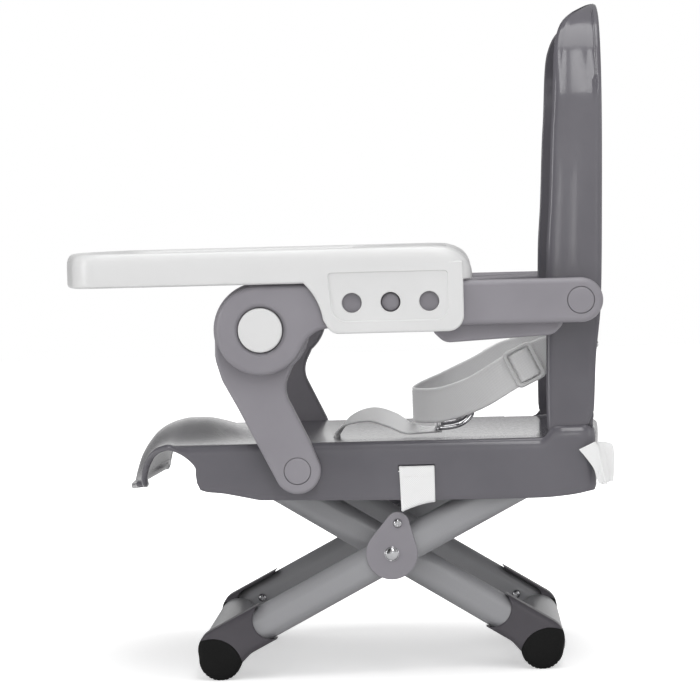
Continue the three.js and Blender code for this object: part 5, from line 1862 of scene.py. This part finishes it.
on_both_sides(hub_cover, hub_rivet)
print("hub placed")


# %% Axle, hinge bar and slider pins
axle_radius = 5 * MM
pin_radius = 4 * MM
pin_edge = 0.6 * MM


def bar(name, centre, side, inner, outer, radius, edge):
    profile = [(0, inner), (radius - edge, inner), (radius, inner + edge), (radius, outer - edge)]
    profile += [(radius - edge, outer), (0, outer)]
    return lathe(name, profile, centre, side, 40)


axle_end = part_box("front_leg_axle")[1].y
axle = bar("front_axle_bar", LEG_PIVOT, 1, -axle_end, axle_end, axle_radius, 0.8 * MM)
piece("front_axle_bar", axle, "chrome_steel", "inner_leg_frame", "front_leg_axle")
rod_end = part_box("back_hinge_rod")[1].y
rod = bar("back_hinge_bar", BACK_HINGE, 1, -rod_end, rod_end, pin_radius, pin_edge)
piece("back_hinge_bar", rod, "chrome_steel", "seat", "back_hinge_rod")


def slider_pin(label, side):
    name = f"slider_steel_pin_{label}"
    low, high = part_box("slider_pin_right")
    pin = bar(name, SLIDER, side, low.y, high.y, pin_radius, pin_edge)
    piece(name, pin, "chrome_steel", "outer_leg_frame", f"slider_pin_{label}")


# %% Slide rails, axle hangers and hinge blocks
rail_corner = 3.5 * MM
rail_slot_radius = 5.4 * MM
rail_wall_front, rail_wall_rear = 7 * MM, 3.5 * MM
hanger_radius, hanger_bore = 9.5 * MM, 5.6 * MM
block_radius, block_bore = 11 * MM, 4.3 * MM
block_flare = Vector((1.5, 5)) * MM
block_corner = 6 * MM
web_edge = 0.7 * MM


def moulded_web(name, node, label, side, outline, hole, edge):
    """An upright plate that belongs to the seat, with one opening through it."""
    low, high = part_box(f"{node}_right")
    mesh = plate(f"{name}_{label}", outline, side * low.y, side * high.y, edge, [hole])
    piece(f"{name}_{label}", mesh, "seat_plastic", "seat", f"{node}_{label}", flat_faces=False)


def slotted_rail(label, side):
    low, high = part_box("slide_rail_right")
    start = Vector((low.x + rail_wall_front + rail_slot_radius, LEG_PIVOT.y))
    stop = Vector((high.x - rail_wall_rear - rail_slot_radius, LEG_PIVOT.y))
    outline = rounded(four_corners((low.x, low.z), (high.x, high.z), rail_corner))
    slot = link(start, rail_slot_radius, stop, rail_slot_radius)
    moulded_web("slotted_rail", "slide_rail", label, side, outline, slot, web_edge)


def axle_bracket(label, side):
    low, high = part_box("axle_hanger_right")
    web = seat_rim - 4.7 * MM
    outline = arc(LEG_PIVOT, hanger_radius, 180, 360, 24) + [Vector((high.x, web)), Vector((low.x, web))]
    hole = circle(LEG_PIVOT, hanger_bore)
    moulded_web("axle_bracket", "axle_hanger", label, side, outline, hole, web_edge)


def hinge_upright(label, side):
    low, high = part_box("hinge_block_right")
    foot = low.z - 0.5 * MM
    waist = foot + block_flare.y
    head = arc(BACK_HINGE, block_radius, -20, 200, 30)
    corners = [tuple(head[-1]), (low.x + block_flare.x, waist, block_corner), (low.x, foot), (high.x, foot)]
    corners += [(high.x - block_flare.x, waist, block_corner), tuple(head[0])]
    outline = head + rounded(corners)[1:-1]
    hole = circle(BACK_HINGE, block_bore)
    moulded_web("hinge_upright", "hinge_block", label, side, outline, hole, 0.8 * MM)


on_both_sides(slider_pin, slotted_rail, axle_bracket, hinge_upright)
print("pins, rails and hinge placed")

# %% [markdown]
# The straps.
#
# A strap is a surface given by a function of how far along it a point is and how far
# across, so it can bend, twist and taper. It gets its thickness from the surface's own
# normals, with a thicker bound edge, and it carries the distances that the weave follows.
# The stitches are short threads laid on the same surface.

# %% Straps: the stitches
NORMAL_STEP = 0.004
THREAD = 0.28 * MM
THREAD_SIDES = 6
THREAD_SHARES = ((0, -0.4), (0.15, 0.5), (0.5, 1), (0.85, 0.5), (1, -0.4))


def surface_normal(surface, t, s):
    along = surface(min(1, t + NORMAL_STEP), s) - surface(max(0, t - NORMAL_STEP), s)
    across = surface(t, min(1, s + NORMAL_STEP)) - surface(t, max(-1, s - NORMAL_STEP))
    return along.cross(across).normalized()


def stitch(surface, a, b, lift):
    """A thread from one point of the surface to another, sunk at both ends."""
    rings = []
    for w, height in THREAD_SHARES:
        t, s = lerp(a[0], b[0], w), lerp(a[1], b[1], w)
        out = surface_normal(surface, t, s)
        centre = surface(t, s) + out * (lift + THREAD * height * (1 if lift > 0 else -1))
        along = (surface(*b) - surface(*a)).normalized()
        wide = along.cross(out).normalized()
        angles = [k * math.pi / 3 for k in range(THREAD_SIDES)]
        rings.append([centre + out * (THREAD * math.sin(a)) + wide * (THREAD * math.cos(a)) for a in angles])
    return rings


def seam_stitches(surface, seam, lift):
    """The threads of one seam on one face of a strap, from ((t, s), (t, s), how many)."""
    (t0, s0), (t1, s1), dashes = seam
    for k in range(dashes):
        w0, w1 = k / dashes, (k + 0.7) / dashes
        start = (lerp(t0, t1, w0), lerp(s0, s1, w0))
        yield stitch(surface, start, (lerp(t0, t1, w1), lerp(s0, s1, w1)), lift)


# %% Straps: the webbing
EDGE_STEPS = [(-1, 0.35), (-0.98, 0.8), (-0.9, 1.12), (-0.82, 0.9), (-0.5, 0.9), (0, 0.9)]
EDGE_STEPS += [(-s, h) for s, h in EDGE_STEPS[-2::-1]]


def strap(name, surface, steps, width=webbing_width, thickness=webbing_thickness, seams=()):
    """A closed strap on surface(t, s), t from 0 to 1 along it and s from -1 to 1 across."""
    points, weave = [], []
    length, last = 0.0, None
    for i in range(steps + 1):
        t = i / steps
        centre = surface(t, 0)
        length += (centre - last).length if last else 0
        last = centre
        ring = []
        for edge_steps, way in ((EDGE_STEPS, 1), (EDGE_STEPS[::-1], -1)):
            for s, height in edge_steps:
                out = surface_normal(surface, t, s) * (way * thickness / 2 * height)
                ring.append((surface(t, s) + out, s))
        points += [p for p, _ in ring]
        weave += [(length, s * width / 2, 0) for _, s in ring]
    half = len(EDGE_STEPS)
    count = 2 * half
    faces = ring_faces(steps, count)
    for first in (0, steps * count):
        last = first + count - 1
        faces += [(first + k, first + k + 1, last - 1 - k, last - k) for k in range(half - 1)]
    for seam in seams:
        for way in (1, -1):
            for rings in seam_stitches(surface, seam, way * thickness * 0.46):
                start, last = len(points), len(points) + (len(rings) - 1) * THREAD_SIDES
                points += [p for ring in rings for p in ring]
                weave += [(0, 0, 0)] * (len(rings) * THREAD_SIDES)
                faces += ring_faces(len(rings) - 1, THREAD_SIDES, start)
                faces += [tuple(range(end, end + THREAD_SIDES)) for end in (start, last)]
    mesh = finished_mesh(name, points, faces, 60, merged=False)
    layer = mesh.attributes.new("weave", "FLOAT_VECTOR", "POINT")
    layer.data.foreach_set("vector", [c for w in weave for c in w])
    return mesh


def strap_on(path, width, across):
    """The surface of a strap whose middle follows a path. across(t) points along its width."""
    def surface(t, s):
        along = (path(min(1, t + 0.003)) - path(max(0, t - 0.003))).normalized()
        wide = across(t)
        wide = (wide - along * wide.dot(along)).normalized()
        return path(t) + wide * (s * width / 2)
    return surface


# %% Crotch strap
crotch_length = 77 * MM
crotch_height = 18 * MM
crotch_shares = [
    (0, -0.1), (0.012, 0.3), (0.13, 0.78), (0.33, 1), (0.52, 0.78), (0.68, 0.42), (0.84, 0.34), (1, 0.36)
]
crotch_start = Vector((crotch_slot.x, 0, seat_rim - 7 * MM))
crotch_steps = [Vector((a * crotch_length, 0, b * crotch_height)) for a, b in crotch_shares]
crotch_path = smooth_path([crotch_start + step for step in crotch_steps])


def crotch_across(t):
    """The strap leans towards the near side over its hump, so its top face shows."""
    lean = math.radians(20) * smoothstep(t, 0.12, 0.4) * (1 - 0.75 * smoothstep(t, 0.55, 0.9))
    return Vector((0.25 * math.sin(math.pi * t), math.cos(lean), math.sin(lean)))


crotch_seams = [
    ((0.8, -0.8), (0.8, 0.8), 9), ((0.93, -0.8), (0.93, 0.8), 9), ((0.8, -0.8), (0.93, 0.8), 9),
    ((0.8, 0.8), (0.93, -0.8), 9),
]
crotch_surface = strap_on(crotch_path, webbing_width, crotch_across)
crotch_mesh = strap("crotch_webbing", crotch_surface, 60, seams=crotch_seams)
piece("crotch_webbing", crotch_mesh, "white_webbing", "seat", "crotch_strap", flat_faces=False)
print("crotch strap", len(crotch_mesh.polygons), "faces")


# %% Crotch ring
def tube_along(name, points, radius, looped=False):
    """A round wire through points."""
    rings = []
    angles = [math.pi * k / 6 for k in range(12)]
    for i, here in enumerate(points):
        before = points[i - 1] if i or looped else here
        after = points[(i + 1) % len(points)] if i + 1 < len(points) or looped else here
        along = (after - before).normalized()
        side = along.cross(Vector((0.1, 0.2, 1))).normalized()
        up = side.cross(along)
        rings.append([here + side * (radius * math.cos(a)) + up * (radius * math.sin(a)) for a in angles])
    return loft(name, rings, looped=looped)


ring_length, ring_width = 27 * MM, 32 * MM
ring_curl = 8 * MM
ring_tilt_share = 0.06
ring_wire = 1.25 * MM


def crotch_ring_wires():
    """Two nested turns of plated wire, curled up at their free end."""
    start = crotch_path(1) + Vector((-4 * MM, 0, 1.7 * MM))
    wires = []
    for inset, lift in ((0, 0), (2.6 * MM, 0.9 * MM)):
        half = ring_width / 2 - inset
        corners = four_corners((inset, -half), (ring_length - inset, half), 4 * MM, 9 * MM, 9 * MM, 4 * MM)
        curled = []
        for p in even_steps(rounded(corners, 8), 1.6 * MM):
            rise = lift + ring_tilt_share * p.y + ring_tilt_share * p.x
            rise += ring_curl * max(0, p.x / ring_length) ** 4
            curled.append(start + Vector((p.x, p.y, rise)))
        wires.append(tube_along("wire", curled, ring_wire, looped=True))
    return joined("crotch_wire_ring", *wires)


piece("crotch_wire_ring", crotch_ring_wires(), "chrome_steel", "seat", "crotch_ring", flat_faces=False)
print("crotch ring placed")

# %% Waist belt
belt_length = 115 * MM
belt_drop = 40.5 * MM
far_belt_lift = 6 * MM
lift_end_share = 0.72
belt_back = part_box("waist_belt")[1].x
belt_shares = [
    (1, 1, 1), (0.835, 1, 0.926), (0.713, 1, 0.778), (0.591, 0.995, 0.605), (0.4, 0.9, 0.284),
    (0.2, 0.74, 0.074), (0.06, 0.42, 0.012), (0.0, 0, 0),
]


def belt_point(share, side):
    a, b, c = share
    lifted = side > 0 and 0 < a < lift_end_share
    slack = far_belt_lift * math.sin(math.pi * min(1, a / lift_end_share)) ** 0.8 if lifted else 0
    z = belt_slot_z - (1 - c) * belt_drop + slack
    return Vector((belt_back - (1 - a) * belt_length, side * b * belt_slot_y, z))


near_belt = [belt_point(share, -1) for share in belt_shares]
far_belt = [belt_point(share, 1) for share in belt_shares[-2::-1]]
belt_path = smooth_path(near_belt + far_belt)
belt_seams = [((0.49, -0.85), (0.49, 0.85), 10), ((0.515, -0.85), (0.515, 0.85), 10)]
belt_surface = strap_on(belt_path, webbing_width, lambda t: Vector((0, 0, 1)))
belt_mesh = strap("waist_webbing", belt_surface, 150, seams=belt_seams)
belt = piece("waist_webbing", belt_mesh, "white_webbing", "backrest", "waist_belt", flat_faces=False)
belt_anchor = (depth_at(panel_shares, belt_slot_z), 0, belt_slot_z)
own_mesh(belt)
print("waist belt", len(belt_mesh.polygons), "faces")


# %% Belt adjusters
slider_length, slider_height = 22.5 * MM, 28 * MM
slider_tilt = Matrix.Rotation(math.radians(26), 2)
side_wall, end_wall = 3 * MM, 2.6 * MM
hump_rise = 2.6 * MM


def belt_slider(label, side, low, high, centre):
    """A frame with rounded corners and a round bar across its middle."""
    def turned(x, z, radius):
        return [centre + slider_tilt @ p for p in rounded(four_corners((-x, -z), (x, z), radius), 6)]

    name = f"belt_slider_{label}"
    half_x, half_z = slider_length / 2, slider_height / 2
    outline = turned(half_x, half_z, 4 * MM)
    window = turned(half_x - side_wall, half_z - end_wall, 2.2 * MM)
    frame_mesh = plate(name, outline, side * low.y, side * high.y, 1.1 * MM, [window])
    ends = [centre + slider_tilt @ Vector((0, z)) for z in (side_wall - half_z, half_z - side_wall)]
    middle_y = side * (low.y + high.y) / 2
    crossbar = tube_along("crossbar", [Vector((p.x, middle_y, p.y)) for p in ends], 1.2 * MM)
    mesh = joined(name, frame_mesh, crossbar)
    return piece(name, mesh, "white_plastic", "backrest", f"belt_adjuster_{label}")


def belt_hump(label, side, low, centre):
    """The strap's turn that humps over the slider's middle bar."""
    reach = slider_length / 2 - 4 * MM
    inner = low.y - 0.3 * MM

    def hump(t, s):
        out = inner + hump_rise * math.sin(math.pi * t) ** 0.6 if 0 < t < 1 else inner
        p = centre + slider_tilt @ Vector((lerp(-reach, reach, t), s * (slider_height / 2 - 3.6 * MM)))
        return Vector((p.x, side * out, p.y))

    name = f"belt_hump_{label}"
    patch = strap(name, hump, 16, width=slider_height - 7 * MM, thickness=1.3 * MM)
    return piece(name, patch, "white_webbing", "backrest", flat_faces=False)


def adjuster(label, side):
    """A three bar slider, and the strap over its middle bar. Both fold away with the belt."""
    low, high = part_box("belt_adjuster_right")
    centre = Vector(((low.x + high.x) / 2 - 2.5 * MM, (low.z + high.z) / 2 + 1 * MM))
    for made in (belt_slider(label, side, low, high, centre), belt_hump(label, side, low, centre)):
        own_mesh(made)


on_both_sides(adjuster)
print("belt adjusters placed")


# %% Side straps
def side_strap(label, side):
    """Out of its slot, down the skirt, and round under the skirt's edge with a slack fold."""
    face = seat_half + 0.9 * MM + play
    low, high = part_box("side_strap_right")
    edge = SEAT_LOW.z

    def surface(t, s):
        slack = 6.2 * MM * ((1 - s) / 2) ** 1.5
        bottom = edge - 1.2 * MM - slack
        rows = [
            Vector((skirt_in + 0.6 * MM, side_slot_height + 0.3 * MM)),
            Vector((seat_half - 0.2 * MM, side_slot_height + 0.7 * MM)),
            Vector((face, side_slot_height - 1.4 * MM)),
            Vector((face + 0.2 * MM, lerp(side_slot_height, edge, 0.4))),
            Vector((face, edge + 3 * MM)), Vector((face - 0.1 * MM, bottom + 1.2 * MM)),
            Vector((face - 1.4 * MM, bottom)),
            Vector((face - 2.6 * MM, bottom + 0.6 * MM + 0.5 * slack)),
            Vector((skirt_in + 0.2 * MM, edge - 1.1 * MM)),
        ]
        place = smooth_path(rows)(t)
        return Vector((lerp(low.x, high.x, (s + 1) / 2) + slack * 0.35 * t, side * place.x, place.y))

    seams = [((0.33, -0.85), (0.33, 0.85), 10)]
    mesh = strap(f"side_webbing_{label}", surface, 44, thickness=1.5 * MM, seams=seams)
    piece(f"side_webbing_{label}", mesh, "white_webbing", "seat", f"side_strap_{label}", flat_faces=False)


# %% Rear straps
def rear_strap(label, side):
    """A strap end that comes out of the skirt, gathers downwards and folds back on itself."""
    low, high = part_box("rear_strap_right")
    layer = (high.y - low.y) / 3
    low = Vector((seat_rear - 12.1 * MM, low.y, high.z - 26.5 * MM))
    size = Vector((24.4, 0, 30.2)) * MM

    def at(a, b, out):
        return Vector((low.x + a * size.x, side * (low.y + out * layer), low.z + b * size.z))

    def curve(*places):
        return smooth_path([Vector(place) for place in places])

    fan_left = curve((0.0, 0.82), (0.2, 0.62), (0.42, 0.36), (0.5, 0.12), (0.58, 0.02))
    fan_right = curve((0.46, 0.99), (0.56, 0.86), (0.62, 0.55), (0.7, 0.25), (0.78, 0.0))
    tail_left = curve((0.5, 0.9), (0.6, 0.84), (0.72, 0.5), (0.76, 0.25), (0.8, 0.08))
    tail_right = curve((0.56, 0.99), (0.93, 0.93), (1.0, 0.7), (0.985, 0.35), (0.95, 0.06))

    def fan(t, s):
        """The front layer: wide at the slot, gathered at its foot."""
        p = fan_left(t).lerp(fan_right(t), (s + 1) / 2)
        ripple = 0.25 * math.sin(2.4 * math.pi * (s + 1)) * smoothstep(t, 0.15, 0.6)
        return at(p.x, p.y, 2.35 + ripple)

    def fold(t, s):
        """The middle layer, which hangs in a narrow pleat."""
        p = Vector((lerp(0.6, 0.74, t) + s * 0.12, lerp(0.95, 0.05, t)))
        return at(p.x, p.y, 1.45 + 0.3 * math.cos(math.pi * s))

    def tail(t, s):
        """The back layer: over the top, then straight down the outside."""
        p = tail_left(t).lerp(tail_right(t), (s + 1) / 2)
        return at(p.x, p.y, 0.8 + 0.3 * math.sin(math.pi * s + 0.6))

    meshes = [
        strap("layer", surface, 28, width=16 * MM, thickness=1.15 * MM) for surface in (fan, fold, tail)
    ]
    piece(
        f"rear_webbing_{label}", joined(f"rear_webbing_{label}", *meshes), "white_webbing", "seat",
        f"rear_strap_{label}", flat_faces=False
    )


on_both_sides(side_strap, rear_strap)
print("straps placed")
